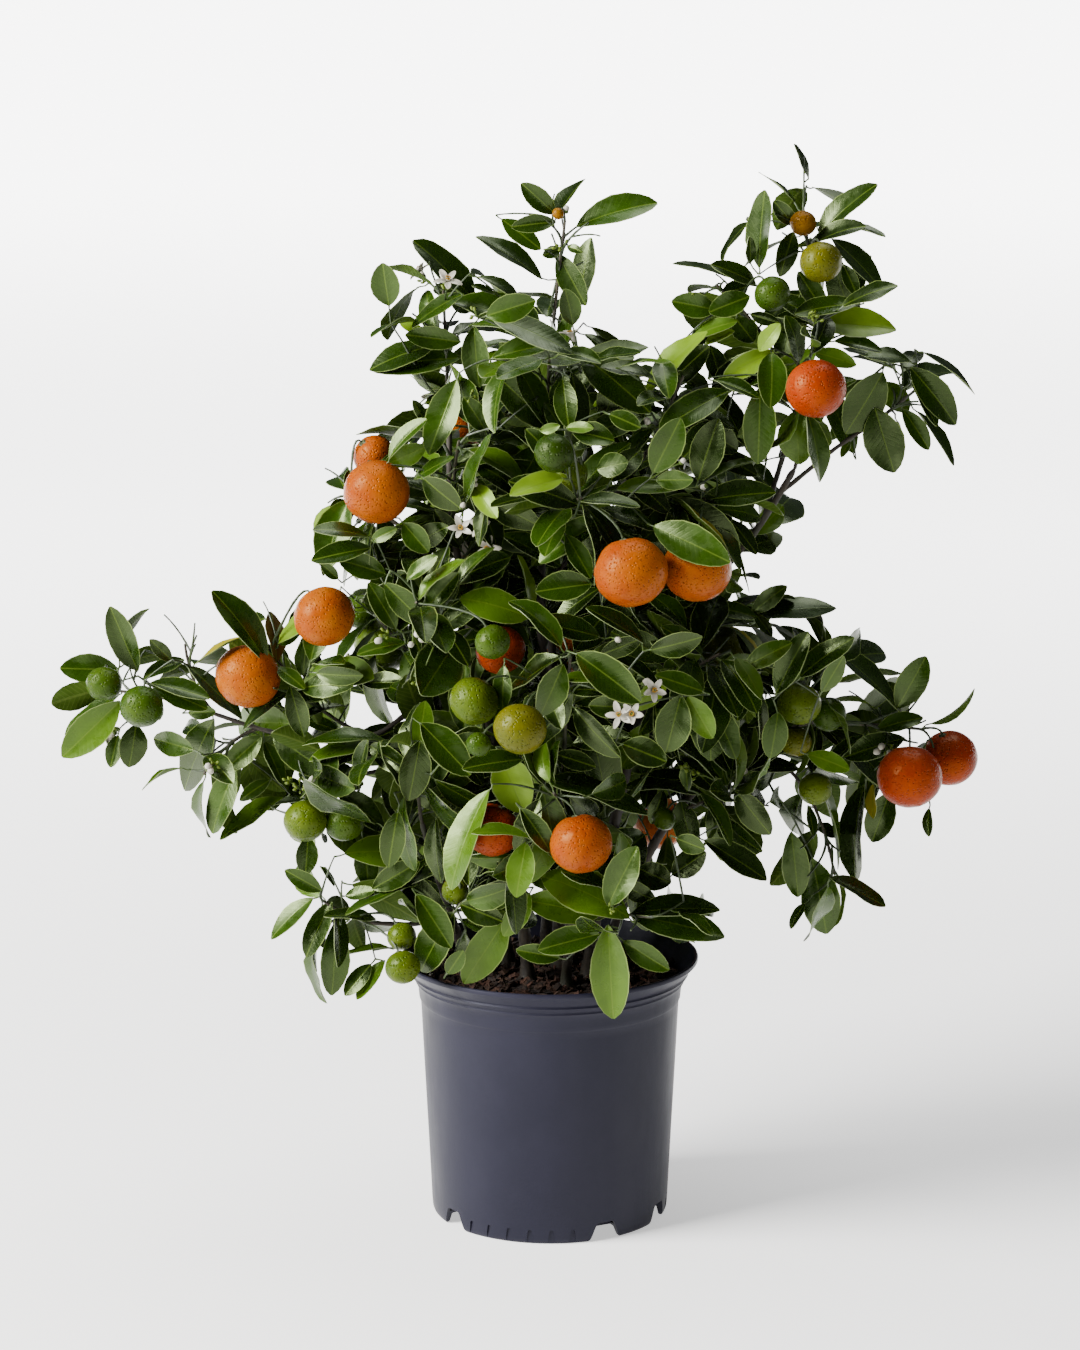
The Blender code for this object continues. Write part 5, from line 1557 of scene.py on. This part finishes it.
def placeFill(ends, half, tone, carrier, name, taken, guarded, balls, rng):
    middle = fromPhoto((ends[0] + ends[2]) / 2, (ends[1] + ends[3]) / 2, carrier.y)
    tip = fromPhoto(ends[2], ends[3], carrier.y)
    if wouldHide(middle, guarded) or wouldHide(tip, guarded) or not inOwnSpace(middle, name, 0.5):
        return None, None
    plan = (*ends, half * rng.uniform(0.5, 0.95), tone)
    return showLeaf(plan, carrier, name, taken, balls, rng, "deep")


def growShown(grown, taken, middles, balls):
    rng = random.Random(77)
    for name, plans in shownTwigs.items():
        for places in plans:
            grown[name]["twigs"].append(showTwig(places, grown[name]["twigs"], name, taken))
    missed = []
    for name, plans in shownLeaves.items():
        for plan in plans:
            _, carrier = carrierOf(plan[0], plan[1], grown[name]["twigs"])
            leaf, twig = showLeaf(plan, carrier, name, taken, balls, rng)
            if leaf is None:
                missed.append((name, plan))
                continue
            keepLeaf(grown, name, leaf, twig, middles)
    print("shown leaves that found no room:", missed)


# short leafy shoots low on the stems and boughs, that close the crown between its front and its back:
# the shares of the limb between which they stand, and how many
innerShoots = {
    "stem_1": (0.45, 0.95, 4), "stem_2": (0.45, 0.95, 6), "stem_3": (0.30, 0.92, 11),
    "stem_4": (0.26, 0.92, 13), "stem_5": (0.28, 0.92, 12), "stem_6": (0.40, 0.95, 6),
    "stem_7": (0.30, 0.95, 5), "stem_8": (0.20, 0.96, 14), "bough_8a": (0.30, 0.90, 3),
    "bough_8b": (0.25, 0.90, 4), "bough_8c": (0.25, 0.90, 4), "bough_2a": (0.15, 0.60, 4),
    "bough_3a": (0.3, 0.8, 2), "bough_4a": (0.3, 0.8, 3), "bough_6a": (0.1, 0.6, 3),
}
innerFloor = 0.185
innerSlack = 1.1


def growInner(grown, taken, middles, guarded):
    rng = random.Random(91)
    for limb, (low, high, count) in innerShoots.items():
        for i in range(count):
            start, direction = pointAt(limbs[limb], low + (high - low) * (i + 0.5) / count)
            if start.z < innerFloor:
                continue
            for attempt in range(12):
                bearing = growth["goldenAngle"] * i + rng.uniform(-0.5, 0.5) * (attempt + 0.4)
                out = (sideways(direction, bearing) + direction * 0.5 + up * 0.25).normalized()
                end = start + out * rng.uniform(0.028, 0.048)
                name = massNames[int(spreads(end).argmin())]
                path = bentPath(start, start.lerp(end, 0.5) + direction * 0.006, end, 6)
                if not inOwnSpace(end, name, innerSlack) or wouldHide(end, guarded):
                    continue
                if hasRoom("inner", path, taken, limb, name + "/twig"):
                    twig = newTwig("inner", path, name, taken)
                    grown[name]["twigs"].append(twig)
                    grown[name]["leaves"] += growLeaves(name, twig, rng, taken, middles, guarded, innerSlack)
                    break


def growCrown():
    taken = takenSpace()
    for name, path in limbs.items():
        taken.add(tubeShape(path[::4] + [path[-1]], limbPlan[name]["radii"][0], 6), name)
    rim = [Vector((0, 0, 0.02)), Vector((0, 0, 0.161))]
    taken.add(tubeShape(rim, 0.0915, 32), "pot")
    for name, mass in massPlan.items():
        for x, y, z, radius, _ in mass.get("fruit", []):
            taken.add(ballShape(Vector((x, y, z)), radius), name + "/fruit")
    grown = {}
    for index, name in enumerate(massPlan):
        twigs, fruit = growMassTwigs(name, index, taken)
        grown[name] = {"twigs": twigs, "fruit": fruit, "leaves": []}
    middles = placeList()
    balls = fruitPlaces(grown, -4)
    growShown(grown, taken, middles, balls)
    guarded = guardedPlaces(grown)
    for index, (name, parts) in enumerate(grown.items()):
        rng = random.Random(growth["seed"] * 2000 + index)
        for twig in parts["twigs"]:
            if twig["leavesFrom"] is not None:
                parts["leaves"] += growLeaves(name, twig, rng, taken, middles, guarded)
    growInner(grown, taken, middles, guarded)
    print("leaves by the rule:", sum(len(parts["leaves"]) for parts in grown.values()))
    fillCrown(grown, taken, middles, guarded, balls)
    return grown


crown = growCrown()
print("grown", sum(len(parts["leaves"]) for parts in crown.values()), "leaves on",
      sum(len(parts["twigs"]) for parts in crown.values()), "twigs")


# Leaf surfaces: a glossy upper side in seven tones, a matt pale underside, a thin pale rim
# deep, dark, mid and bright are partly the leaves' own greens and partly painted light and shade: leaves in
# shade take the deeper tones and lit leaves the brighter ones
leafTones = {
    "deep": ((0.0030, 0.0080, 0.0004), (0.0050, 0.0130, 0.0006), 0.22),
    "dark": ((0.0048, 0.0135, 0.0005), (0.0078, 0.0205, 0.0007), 0.23),
    "mid": ((0.0082, 0.0225, 0.0006), (0.0130, 0.0340, 0.0009), 0.25),
    "bright": ((0.0270, 0.0620, 0.0010), (0.0400, 0.0850, 0.0014), 0.29),
    "young": ((0.0760, 0.1380, 0.0020), (0.1060, 0.1820, 0.0040), 0.34),
    "yellowing": ((0.1400, 0.1200, 0.0020), (0.1900, 0.1550, 0.0040), 0.38),
    "bronze": ((0.0480, 0.0200, 0.0020), (0.0700, 0.0300, 0.0040), 0.38),
}
leafVeins = {
    "mapScale": 10,
    "spacing": 0.0034,
    "slant": 0.80,
    "paleRib": (0.075, 0.115, 0.012),
    # the margin is partly the leaf's own paler edge and partly a painted edge highlight
    "margin": (0.150, 0.200, 0.050),
    "sheen": (0.78, 1.0, 0.44),
}


def leafLines(nodes):
    # how far a place lies off the rib, and a wave that peaks on the side veins, which lean forward
    off, run = nodes.uvParts("blade")
    away = nodes.maths("ABSOLUTE", nodes.maths("SUBTRACT", off, 0.5))
    lean = nodes.maths("SUBTRACT", run, nodes.maths("MULTIPLY", away, leafVeins["slant"]))
    pace = math.tau / (leafVeins["spacing"] * leafVeins["mapScale"])
    return away, nodes.maths("SINE", nodes.maths("MULTIPLY", lean, pace))


def blendOf(first, second, share):
    return tuple(a * share + b * (1 - share) for a, b in zip(first, second))


def leafTop(name, low, high, rough):
    material, shader = newMaterial("leaf" + name.capitalize(), low, rough)
    nodes = nodeMaker(material)
    side, _ = nodes.uvParts("grid")
    away, beat = leafLines(nodes)
    patches = nodes.speckle(60.0, 3.0)
    colour = nodes.mix(nodes.ramp(patches, 0.32, 0.68), low, high)
    veins = nodes.ramp(beat, 0.30, 1.0, 0.0, 0.07)
    colour = nodes.mix(veins, colour, blendOf(leafVeins["paleRib"], high, 0.35))
    rib = nodes.ramp(away, 0.0022, 0.0062, 0.75, 0.0)
    colour = nodes.mix(rib, colour, blendOf(leafVeins["paleRib"], high, 0.6))
    edge = nodes.maths("ABSOLUTE", nodes.maths("SUBTRACT", nodes.maths("MULTIPLY", side, 2.0), 1.0))
    # a pale margin along the blade's edge: partly the leaf's own paler edge, partly a painted edge highlight
    colour = nodes.mix(nodes.ramp(edge, 0.93, 0.985, 0.0, 0.8), colour, leafVeins["margin"])
    nodes.drive("Base Color", colour)
    nodes.drive("Roughness", nodes.ramp(nodes.speckle(140.0, 2.0), 0.3, 0.7, rough - 0.05, rough + 0.10))
    pores = nodes.speckle(1300.0, 2.0)
    relief = nodes.maths("ADD", nodes.maths("MULTIPLY", pores, 0.22), nodes.maths("MULTIPLY", veins, -3.0))
    relief = nodes.maths("SUBTRACT", relief, nodes.maths("MULTIPLY", rib, 0.8))
    nodes.bump(relief, 0.20, 0.0004)
    setSheen(shader, 0.46, leafVeins["sheen"])
    return material


def leafUnder():
    material, shader = newMaterial("leafUnder", (0.028, 0.050, 0.010), 0.60)
    nodes = nodeMaker(material)
    away, beat = leafLines(nodes)
    patches = nodes.speckle(70.0, 3.0)
    colour = nodes.mix(nodes.ramp(patches, 0.3, 0.7), (0.024, 0.048, 0.004), (0.040, 0.072, 0.008))
    veins = nodes.ramp(beat, 0.60, 0.98, 0.0, 0.45)
    rib = nodes.ramp(away, 0.004, 0.010, 0.9, 0.0)
    colour = nodes.mix(nodes.maths("MAXIMUM", veins, rib), colour, (0.070, 0.105, 0.016))
    nodes.drive("Base Color", colour)
    nodes.bump(nodes.maths("ADD", rib, veins), 0.4, 0.0005)
    setSheen(shader, 0.14, leafVeins["sheen"])
    return material


def leafRim():
    material, _ = newMaterial("leafRim", (0.11, 0.15, 0.04), 0.5)
    nodes = nodeMaker(material)
    nodes.drive("Base Color", nodes.mix(nodes.speckle(90.0), (0.080, 0.120, 0.025), (0.180, 0.220, 0.080)))
    return material


def bladeTemplate():
    bm = bmesh.new()
    bmesh.ops.create_grid(bm, x_segments=leafForm["across"], y_segments=leafForm["along"], size=1.0)
    places, faces = templateOf(bm)
    # turned over, so that the upper side looks along the leaf's normal
    return places[:, 0], (places[:, 1] + 1) / 2, [face[::-1] for face in faces]


def bladesPiece(name, leaves, materials, thickness=0.0003):
    # the materials are the upper sides, as many undersides, then the rim
    side, share, faces = bladeTemplate()
    # more rings towards the ends, where the outline turns fastest
    share = share - 0.068 * np.sin(2 * math.pi * share)
    places = bladePoints(leaves, side[None, :], share[None, :])
    mesh = bpy.data.meshes.new(name)
    mesh.from_pydata(places.reshape(-1, 3).tolist(), [], copiedFaces(faces, len(side), len(leaves)))
    corners = np.zeros(len(mesh.loops), dtype=np.int64)
    mesh.loops.foreach_get("vertex_index", corners)
    widths = np.array([leaf["width"] for leaf in leaves])[:, None]
    lengths = np.array([leaf["length"] for leaf in leaves])[:, None]
    outline = bladeOutline(share)
    off = 0.5 + side[None, :] * outline[None, :] * widths / 2 * leafVeins["mapScale"]
    run = share[None, :] * lengths * leafVeins["mapScale"]
    grids = {
        "blade": np.stack([off.ravel(), run.ravel()], axis=1),
        "grid": np.stack([np.tile((side + 1) / 2, len(leaves)), np.tile(share, len(leaves))], axis=1),
    }
    for mapName, grid in grids.items():
        layer = mesh.uv_layers.new(name=mapName)
        layer.uv.foreach_set("vector", grid[corners].astype(np.float32).ravel())
    indices = np.repeat([leaf["tone"] for leaf in leaves], len(faces)).astype(np.int32)
    obj = newObject(name, mesh, materials)
    mesh.polygons.foreach_set("material_index", indices)
    solid = obj.modifiers.new("thickness", "SOLIDIFY")
    solid.thickness = thickness
    solid.offset = -1.0
    solid.material_offset = len(materials) // 2
    solid.material_offset_rim = len(materials) // 2 * 2
    graph = bpy.context.evaluated_depsgraph_get()
    thick = bpy.data.meshes.new_from_object(obj.evaluated_get(graph))
    obj.modifiers.clear()
    obj.data = thick
    smoothShade(thick, 50)
    return obj


crownRegions = {
    "top": ("top_spray", "top_left", "top_centre", "top_back"),
    "rightCrown": ("right_crest", "right_crest_left", "right_crown", "right_outer", "right_shoulder"),
    "leftShoulder": ("left_shoulder", "left_shoulder_outer", "left_flank"),
    "heart": ("heart_upper", "heart_middle", "heart_low", "left_heart_low"),
    "leftArm": ("left_arm_inner", "left_arm_middle", "left_arm_outer", "left_arm_tip", "left_low"),
    "rightArm": (
        "right_flank_upper", "right_flank", "right_arm_inner", "right_arm_tip", "right_hanging", "right_low",
    ),
    "skirt": ("left_skirt", "front_skirt_left", "front_skirt_right"),
    "back": (
        "back_upper_left", "back_upper_right", "back_left", "back_middle", "back_right",
        "back_low_left", "back_low_right",
    ),
}


def makeLeaves():
    under = leafUnder()
    materials = [leafTop(name, *leafTones[name]) for name in tones]
    materials += [under] * len(tones) + [leafRim()]
    for name, nodes in crownRegions.items():
        leaves = [leaf for node in nodes for leaf in crown[node]["leaves"]]
        finishPiece(bladesPiece(name + "Leaves", leaves, materials), "foliage", *nodes)


makeLeaves()
print("leaves made")


# dark, light and green, as in barkMaterial, and the roughness
twigBarks = {
    "twigBrown": ((0.018, 0.014, 0.007), (0.038, 0.031, 0.015), (0.022, 0.032, 0.007), 0.7),
    "twigGreen": ((0.009, 0.019, 0.002), (0.019, 0.034, 0.003), (0.015, 0.029, 0.003), 0.5),
    "petioleGreen": ((0.026, 0.050, 0.004), (0.045, 0.075, 0.007), (0.036, 0.062, 0.006), 0.45),
}


def twigRadii(path, radii):
    # small swellings where leaves leave the twig
    values = []
    for i in range(len(path)):
        share = i / (len(path) - 1)
        radius = radii[0] + (radii[1] - radii[0]) * share
        values.append(radius * (1.12 if i % 2 else 0.94))
    return values


petioleRadii = (0.00062, 0.00050, 0.00046)


def petiolePath(leaf):
    end = leaf["root"] + leaf["along"] * 0.0010
    start = leaf["node"]
    middle = start.lerp(end, 0.55) - leaf["along"] * 0.0006 - leaf["normal"] * 0.0008
    return [start, middle, end]


def makeTwigs():
    tubes = []
    for parts in crown.values():
        for twig in parts["twigs"]:
            index = 0 if twig["sort"] == "sprig" else 1
            tubes.append((twig["path"], twigRadii(twig["path"], twig["radii"]), index))
        for leaf in parts["leaves"]:
            tubes.append((petiolePath(leaf), petioleRadii, 2))
    barks = [barkMaterial(name, *look) for name, look in twigBarks.items()]
    mesh = tubesMesh("twigs", tubes, 6, barks)
    smoothShade(mesh, 60)
    finishPiece(newObject("twigs", mesh), "foliage", *crown)


makeTwigs()
print("twigs and petioles made")

# Fruit: peel colours from deep orange to bud green
peels = {
    "orange": ((0.185, 0.027, 0.0001), (0.245, 0.055, 0.0001)),
    "deep": ((0.160, 0.012, 0.0001), (0.215, 0.024, 0.0001)),
    "amber": ((0.195, 0.034, 0.0001), (0.255, 0.066, 0.0001)),
    "turning": ((0.110, 0.046, 0.0006), (0.160, 0.066, 0.0010)),
    "olive": ((0.042, 0.048, 0.0008), (0.074, 0.070, 0.0012)),
    "lime": ((0.030, 0.054, 0.0010), (0.056, 0.080, 0.0016)),
    "green": ((0.014, 0.034, 0.0010), (0.027, 0.052, 0.0018)),
    "dark": ((0.008, 0.020, 0.0010), (0.014, 0.030, 0.0016)),
}
peelLook = {
    "poreScale": 520.0,
    "dotShare": 0.45,
    "sheen": {"orange": (1.0, 0.66, 0.22), "green": (0.85, 1.0, 0.50)},
}
# the dimples and the ring are depth, distance from the axis and reach, in radii
fruitForm = {
    "height": 0.94,
    "stalkDimple": (0.085, 0.0, 0.22),
    "footDimple": (-0.055, 0.0, 0.16),
    "footRing": (0.030, 0.24, 0.10),
    "lumps": 130,
    "lumpRise": 0.0003,
    "calyx": 0.24,
    "calyxMost": 0.0030,
}


def peelMaterial(name, low, high):
    material, shader = newMaterial("peel" + name.capitalize(), low, 0.34)
    nodes = nodeMaker(material)
    mottle = nodes.maths("MULTIPLY", nodes.speckle(160.0, 2.0), 0.35)
    cloud = nodes.maths("ADD", nodes.speckle(34.0, 3.0), mottle)
    colour = nodes.mix(nodes.ramp(cloud, 0.46, 0.88), low, high)
    pores = nodes.cells(peelLook["poreScale"])
    dots = nodes.ramp(pores, 0.08, 0.36, peelLook["dotShare"], 0.0)
    colour = nodes.mix(dots, colour, tuple(c * 0.55 for c in low))
    nodes.drive("Base Color", colour)
    nodes.drive("Roughness", nodes.ramp(nodes.speckle(200.0), 0.3, 0.7, 0.26, 0.42))
    lumps = nodes.maths("MULTIPLY", nodes.speckle(300.0), 0.6)
    nodes.bump(nodes.maths("ADD", nodes.ramp(pores, 0.05, 0.42), lumps), 0.60, 0.0009)
    setSheen(shader, 0.17, peelLook["sheen"]["orange" if low[0] > low[1] * 2 else "green"])
    shader.inputs["Subsurface Weight"].default_value = 0.05
    shader.inputs["Subsurface Radius"].default_value = (0.004, 0.002, 0.001)
    shader.inputs["Subsurface Scale"].default_value = 0.5
    return material


def fruitTemplate():
    bm = bmesh.new()
    bmesh.ops.create_uvsphere(bm, u_segments=28, v_segments=18, radius=1.0)
    places, faces = templateOf(bm)
    across = np.hypot(places[:, 0], places[:, 1])
    shape = places.copy()
    shape[:, 2] *= fruitForm["height"]
    for isHere, depth, middle, reach in (
        (places[:, 2] > 0, *fruitForm["stalkDimple"]),
        (places[:, 2] < 0, *fruitForm["footDimple"]),
        (places[:, 2] < 0, *fruitForm["footRing"]),
    ):
        shape[:, 2] -= np.where(isHere, depth * np.exp(-(((across - middle) / reach) ** 2)), 0.0)
    return shape, faces


def turnTo(axis, rng):
    spin = Matrix.Rotation(rng.uniform(0, math.tau), 3, "Z")
    return np.array(axis.to_track_quat("Z", "Y").to_matrix() @ spin)


def copiesMesh(name, template, copies, materials):
    # copies are (3x3 matrix, place, material index)
    points, faces = template
    places = [points @ np.array(matrix).T + np.array(tuple(place)) for matrix, place, _ in copies]
    mesh = bpy.data.meshes.new(name)
    mesh.from_pydata(np.concatenate(places).tolist(), [], copiedFaces(faces, len(points), len(copies)))
    for material in materials:
        mesh.materials.append(material)
    indices = np.repeat([index for _, _, index in copies], len(faces)).astype(np.int32)
    mesh.polygons.foreach_set("material_index", indices)
    return mesh


def calyxTemplate():
    # a small star of five lobes
    bm = bmesh.new()
    bmesh.ops.create_cone(bm, cap_ends=True, segments=20, radius1=1.0, radius2=0.55, depth=0.45)
    for vertex in bm.verts:
        angle = math.atan2(vertex.co.y, vertex.co.x)
        reach = 1.0 + 0.32 * math.cos(angle * 5) if vertex.co.z < 0 else 1.0
        vertex.co.x *= reach
        vertex.co.y *= reach
    return templateOf(bm)


def makeCalyxes(fruitNodes, rng):
    copies = []
    for parts in crown.values():
        for fruit in parts["fruit"]:
            size = min(fruitForm["calyxMost"], fruit["radius"] * fruitForm["calyx"])
            spot = fruit["centre"] + fruit["axis"] * (fruit["radius"] * 0.865 + size * 0.12)
            copies.append((turnTo(fruit["axis"], rng) * size, spot, 0))
    material, _ = newMaterial("calyx", (0.030, 0.040, 0.008), 0.7)
    nodes = nodeMaker(material)
    nodes.drive("Base Color", nodes.mix(nodes.speckle(400.0), (0.020, 0.030, 0.006), (0.045, 0.055, 0.012)))
    mesh = copiesMesh("calyxes", calyxTemplate(), copies, [material])
    smoothShade(mesh, 40)
    finishPiece(newObject("calyxes", mesh), "foliage", *fruitNodes)


def makeFruit():
    rng = random.Random(31)
    names = list(peels)
    copies = []
    for parts in crown.values():
        for fruit in parts["fruit"]:
            matrix = turnTo(fruit["axis"], rng) * fruit["radius"]
            copies.append((matrix, fruit["centre"], names.index(fruit["kind"])))
    mesh = copiesMesh("fruit", fruitTemplate(), copies, [peelMaterial(name, *peels[name]) for name in names])
    normals = [vertex.normal.copy() for vertex in mesh.vertices]
    for vertex, normal in zip(mesh.vertices, normals):
        lump = noise.noise(vertex.co * fruitForm["lumps"])
        vertex.co = vertex.co + normal * lump * fruitForm["lumpRise"]
    smoothShade(mesh)
    fruitNodes = [name for name, parts in crown.items() if parts["fruit"]]
    finishPiece(newObject("fruit", mesh), "foliage", *fruitNodes)
    makeCalyxes(fruitNodes, rng)


makeFruit()
print("fruit made")

# Blossom: open flowers and buds where the photograph shows them, then at twig ends all round
blossom = {
    "flowers": [(461, 530), (489, 547), (466, 556), (484, 527), (620, 716), (652, 690), (633, 715)],
    "buds": [
        (461, 508), (417, 631), (422, 640), (413, 643), (649, 425), (681, 463), (706, 486), (605, 674),
        (634, 697), (616, 639), (566, 212), (643, 684), (700, 560),
    ],
    "tufts": [
        (611, 911), (477, 317), (563, 248), (808, 318), (800, 322), (815, 324), (292, 783), (300, 789),
        (310, 783), (698, 294), (421, 680), (690, 770), (700, 775), (663, 675), (470, 398),
    ],
    "around": 26,
    "openShare": 0.35,
    "petals": 5,
    "stamens": 9,
    "materials": ["calyxGreen", "petalWhite", "antherYellow", "tuftGreen"],
    "petal": (0.0084, 0.0036),
    "bud": (0.0021, 0.0052),
    "seed": 12,
}


def twigEnds():
    ends = []
    for name, parts in crown.items():
        for twig in parts["twigs"]:
            if twig["sort"] not in ("sprig", "stalk"):
                path = twig["path"]
                ends.append((name, path[-1], (path[-1] - path[-2]).normalized()))
    return ends


def standAt(u, v, ends):
    # on the twig end that shows nearest to the pixel
    def worth(end):
        x, y = toPhoto(end[1])
        return math.hypot(x - u, y - v) + end[1].y * 250
    return min(ends, key=worth)


def petalsOf(place, axis, rng):
    petals = []
    length, width = blossom["petal"]
    opening = rng.uniform(0.45, 0.95)
    turn = rng.uniform(0, math.tau)
    for i in range(blossom["petals"]):
        out = sideways(axis, turn + math.tau * i / blossom["petals"])
        along = (axis * math.cos(opening) + out * math.sin(opening)).normalized()
        normal = (axis * math.sin(opening) - out * math.cos(opening)).normalized()
        petals.append({
            "root": place + axis * 0.0012 + out * 0.0006, "along": along, "normal": normal,
            "length": length * rng.uniform(0.88, 1.08), "width": width * rng.uniform(0.9, 1.1),
            "droop": rng.uniform(0.5, 1.2), "fold": rng.uniform(0.2, 0.5), "twist": rng.uniform(-0.2, 0.2),
            "wave": 0.06, "phase": rng.uniform(0, 6), "tone": 0,
        })
    return petals


def plainMaterial(name, low, high, rough, scale=300.0):
    material, shader = newMaterial(name, low, rough)
    nodes = nodeMaker(material)
    spots = nodes.speckle(scale)
    nodes.drive("Base Color", nodes.mix(nodes.ramp(spots, 0.3, 0.7), low, high))
    nodes.bump(spots, 0.25, 0.0003)
    shader.inputs["Specular IOR Level"].default_value = 0.25
    return material


def ballTemplate():
    bm = bmesh.new()
    bmesh.ops.create_uvsphere(bm, u_segments=8, v_segments=6, radius=1.0)
    return templateOf(bm)


class blossomMaker:
    # petals, small balls and stalks of all the flowers, buds and tufts, for three meshes
    def __init__(self, rng):
        self.rng = rng
        self.petals = []
        self.balls = []
        self.stalks = []

    def addStalk(self, start, end, radius):
        path = [start, start.lerp(end, 0.5) + up * 0.0008, end]
        self.stalks.append((path, (radius, radius * 0.9, radius * 1.3), 0))

    def addBall(self, axis, radii, place, material):
        index = blossom["materials"].index(material)
        self.balls.append((turnTo(axis, self.rng) @ np.diag(radii), place, index))

    def addFlower(self, start, place, axis):
        rng = self.rng
        self.petals.extend(petalsOf(place, axis, rng))
        self.addStalk(start, place, 0.0005)
        self.addBall(axis, (0.0015, 0.0015, 0.0015), place + axis * 0.0003, "calyxGreen")
        self.addBall(axis, (0.0009, 0.0009, 0.0022), place + axis * 0.0024, "tuftGreen")
        for i in range(blossom["stamens"]):
            out = sideways(axis, math.tau * i / blossom["stamens"])
            spot = place + axis * rng.uniform(0.0042, 0.0054) + out * rng.uniform(0.0009, 0.0015)
            self.stalks.append(([place + axis * 0.002 + out * 0.0009, spot], (0.00022, 0.00020), 1))
            self.addBall(axis, (0.00048, 0.00048, 0.00048), spot, "antherYellow")

    def addBud(self, start, place, axis):
        wide, long = blossom["bud"]
        size = self.rng.uniform(0.7, 1.05)
        self.addStalk(start, place, 0.00045)
        spot = place + axis * long * 0.45 * size
        self.addBall(axis, (wide * size, wide * size, long * 0.5 * size), spot, "petalWhite")
        self.addBall(axis, (0.0015, 0.0015, 0.0011), place, "calyxGreen")

    def addTuft(self, place, way):
        for _ in range(self.rng.randint(4, 7)):
            axis = (way + scattered(self.rng) * 0.9).normalized()
            end = place + axis * self.rng.uniform(0.0025, 0.0060)
            self.addStalk(place, end, 0.00032)
            self.addBall(axis, (0.0009, 0.0009, 0.0014), end, "tuftGreen")

    def placeShown(self, ends):
        # each on the twig end that shows nearest, a little before it
        towards = (cameraPlace() - Vector((0, 0, 0.35))).normalized()
        for kind, before in (("flowers", 0.010), ("buds", 0.008), ("tufts", 0.003)):
            for u, v in blossom[kind]:
                _, end, way = standAt(u, v, ends)
                place = fromPhoto(u, v, end.y - before)
                if kind == "flowers":
                    self.addFlower(end, place, (towards + scattered(self.rng) * 0.7).normalized())
                elif kind == "buds":
                    self.addBud(end, place, (way + up * 0.5 + scattered(self.rng) * 0.5).normalized())
                else:
                    self.addStalk(end, place, 0.0005)
                    self.addTuft(place, way)

    def placeAround(self, ends):
        rng = self.rng
        for _, end, way in rng.sample(ends, blossom["around"]):
            way = (way + up * 0.4).normalized()
            if rng.random() < blossom["openShare"]:
                self.addFlower(end, end + way * 0.006, way)
            for _ in range(rng.randint(1, 3)):
                aside = (way + scattered(rng) * 0.7).normalized()
                self.addBud(end, end + aside * rng.uniform(0.004, 0.007), aside)
            self.addTuft(end, way)


def makeBlossom():
    maker = blossomMaker(random.Random(blossom["seed"]))
    ends = twigEnds()
    maker.placeShown(ends)
    maker.placeAround(ends)
    green = plainMaterial("calyxGreen", (0.030, 0.056, 0.005), (0.050, 0.080, 0.008), 0.5)
    white = plainMaterial("petalWhite", (0.33, 0.315, 0.25), (0.43, 0.41, 0.34), 0.55)
    yellow = plainMaterial("antherYellow", (0.24, 0.12, 0.006), (0.30, 0.17, 0.01), 0.6)
    tuft = plainMaterial("tuftGreen", (0.065, 0.100, 0.006), (0.100, 0.140, 0.010), 0.5)
    finishPiece(bladesPiece("petals", maker.petals, [white, white, white], 0.00035), "foliage", *crown)
    balls = copiesMesh("flowerParts", ballTemplate(), maker.balls, [green, white, yellow, tuft])
    stalks = tubesMesh("flowerStalks", maker.stalks, 6, [green, white])
    for name, mesh in (("flowerParts", balls), ("flowerStalks", stalks)):
        smoothShade(mesh)
        finishPiece(newObject(name, mesh), "foliage", *crown)


makeBlossom()
print("blossom made")

# Floor and light: a plain pale floor, a big soft light from the upper left and a weak one from above
studio = {
    "floor": (0.86, 0.855, 0.85),
    "glowNear": 0.7,
    "glowBehind": 4.2,
    "glowFar": 3.2,
    "world": (0.90, 0.95, 1.0),
    "worldStrength": 0.08,
}


def makeFloor():
    bm = bmesh.new()
    bmesh.ops.create_grid(bm, x_segments=1, y_segments=1, size=30)
    floor = newObject("floor", meshFrom(bm, "floor"))
    material, shader = newMaterial("floorPaper", studio["floor"], 0.9)
    nodes = nodeMaker(material)
    parts = nodes.tree.nodes.new("ShaderNodeSeparateXYZ")
    nodes.tree.links.new(nodes.place(), parts.inputs[0])
    shader.inputs["Emission Color"].default_value = (1.0, 0.995, 0.99, 1.0)
    # the floor glows more behind the plant and far away, which keeps the ground pale
    near = nodes.ramp(parts.outputs[1], 0.0, 2.6, studio["glowNear"], studio["glowBehind"])
    far = nodes.ramp(nodes.maths("ABSOLUTE", parts.outputs[1]), 2.5, 7.0, 0.0, studio["glowFar"])
    nodes.drive("Emission Strength", nodes.maths("ADD", near, far))
    floor.data.materials.append(material)


def makeLight(name, place, aim, size, power, colour):
    data = bpy.data.lights.new(name, "AREA")
    data.shape = "RECTANGLE"
    data.size, data.size_y = size
    data.energy = power
    data.color = colour
    light = bpy.data.objects.new(name, data)
    light.location = place
    light.rotation_euler = (Vector(aim) - Vector(place)).to_track_quat("-Z", "Y").to_euler()
    bpy.context.scene.collection.objects.link(light)


def makeWorld():
    world = bpy.data.worlds.new("softWorld")
    world.use_nodes = True
    background = world.node_tree.nodes["Background"]
    background.inputs["Color"].default_value = (*studio["world"], 1.0)
    background.inputs["Strength"].default_value = studio["worldStrength"]
    bpy.context.scene.world = world


makeFloor()
makeLight("softBox", (-2.3, -0.9, 1.7), (0, 0, 0.3), (1.5, 1.9), 385, (1.0, 0.99, 0.97))
makeLight("topLight", (0.3, 0.6, 2.4), (0, 0, 0.3), (1.5, 1.5), 36, (0.97, 0.98, 1.0))
makeWorld()
print("floor and lights placed")
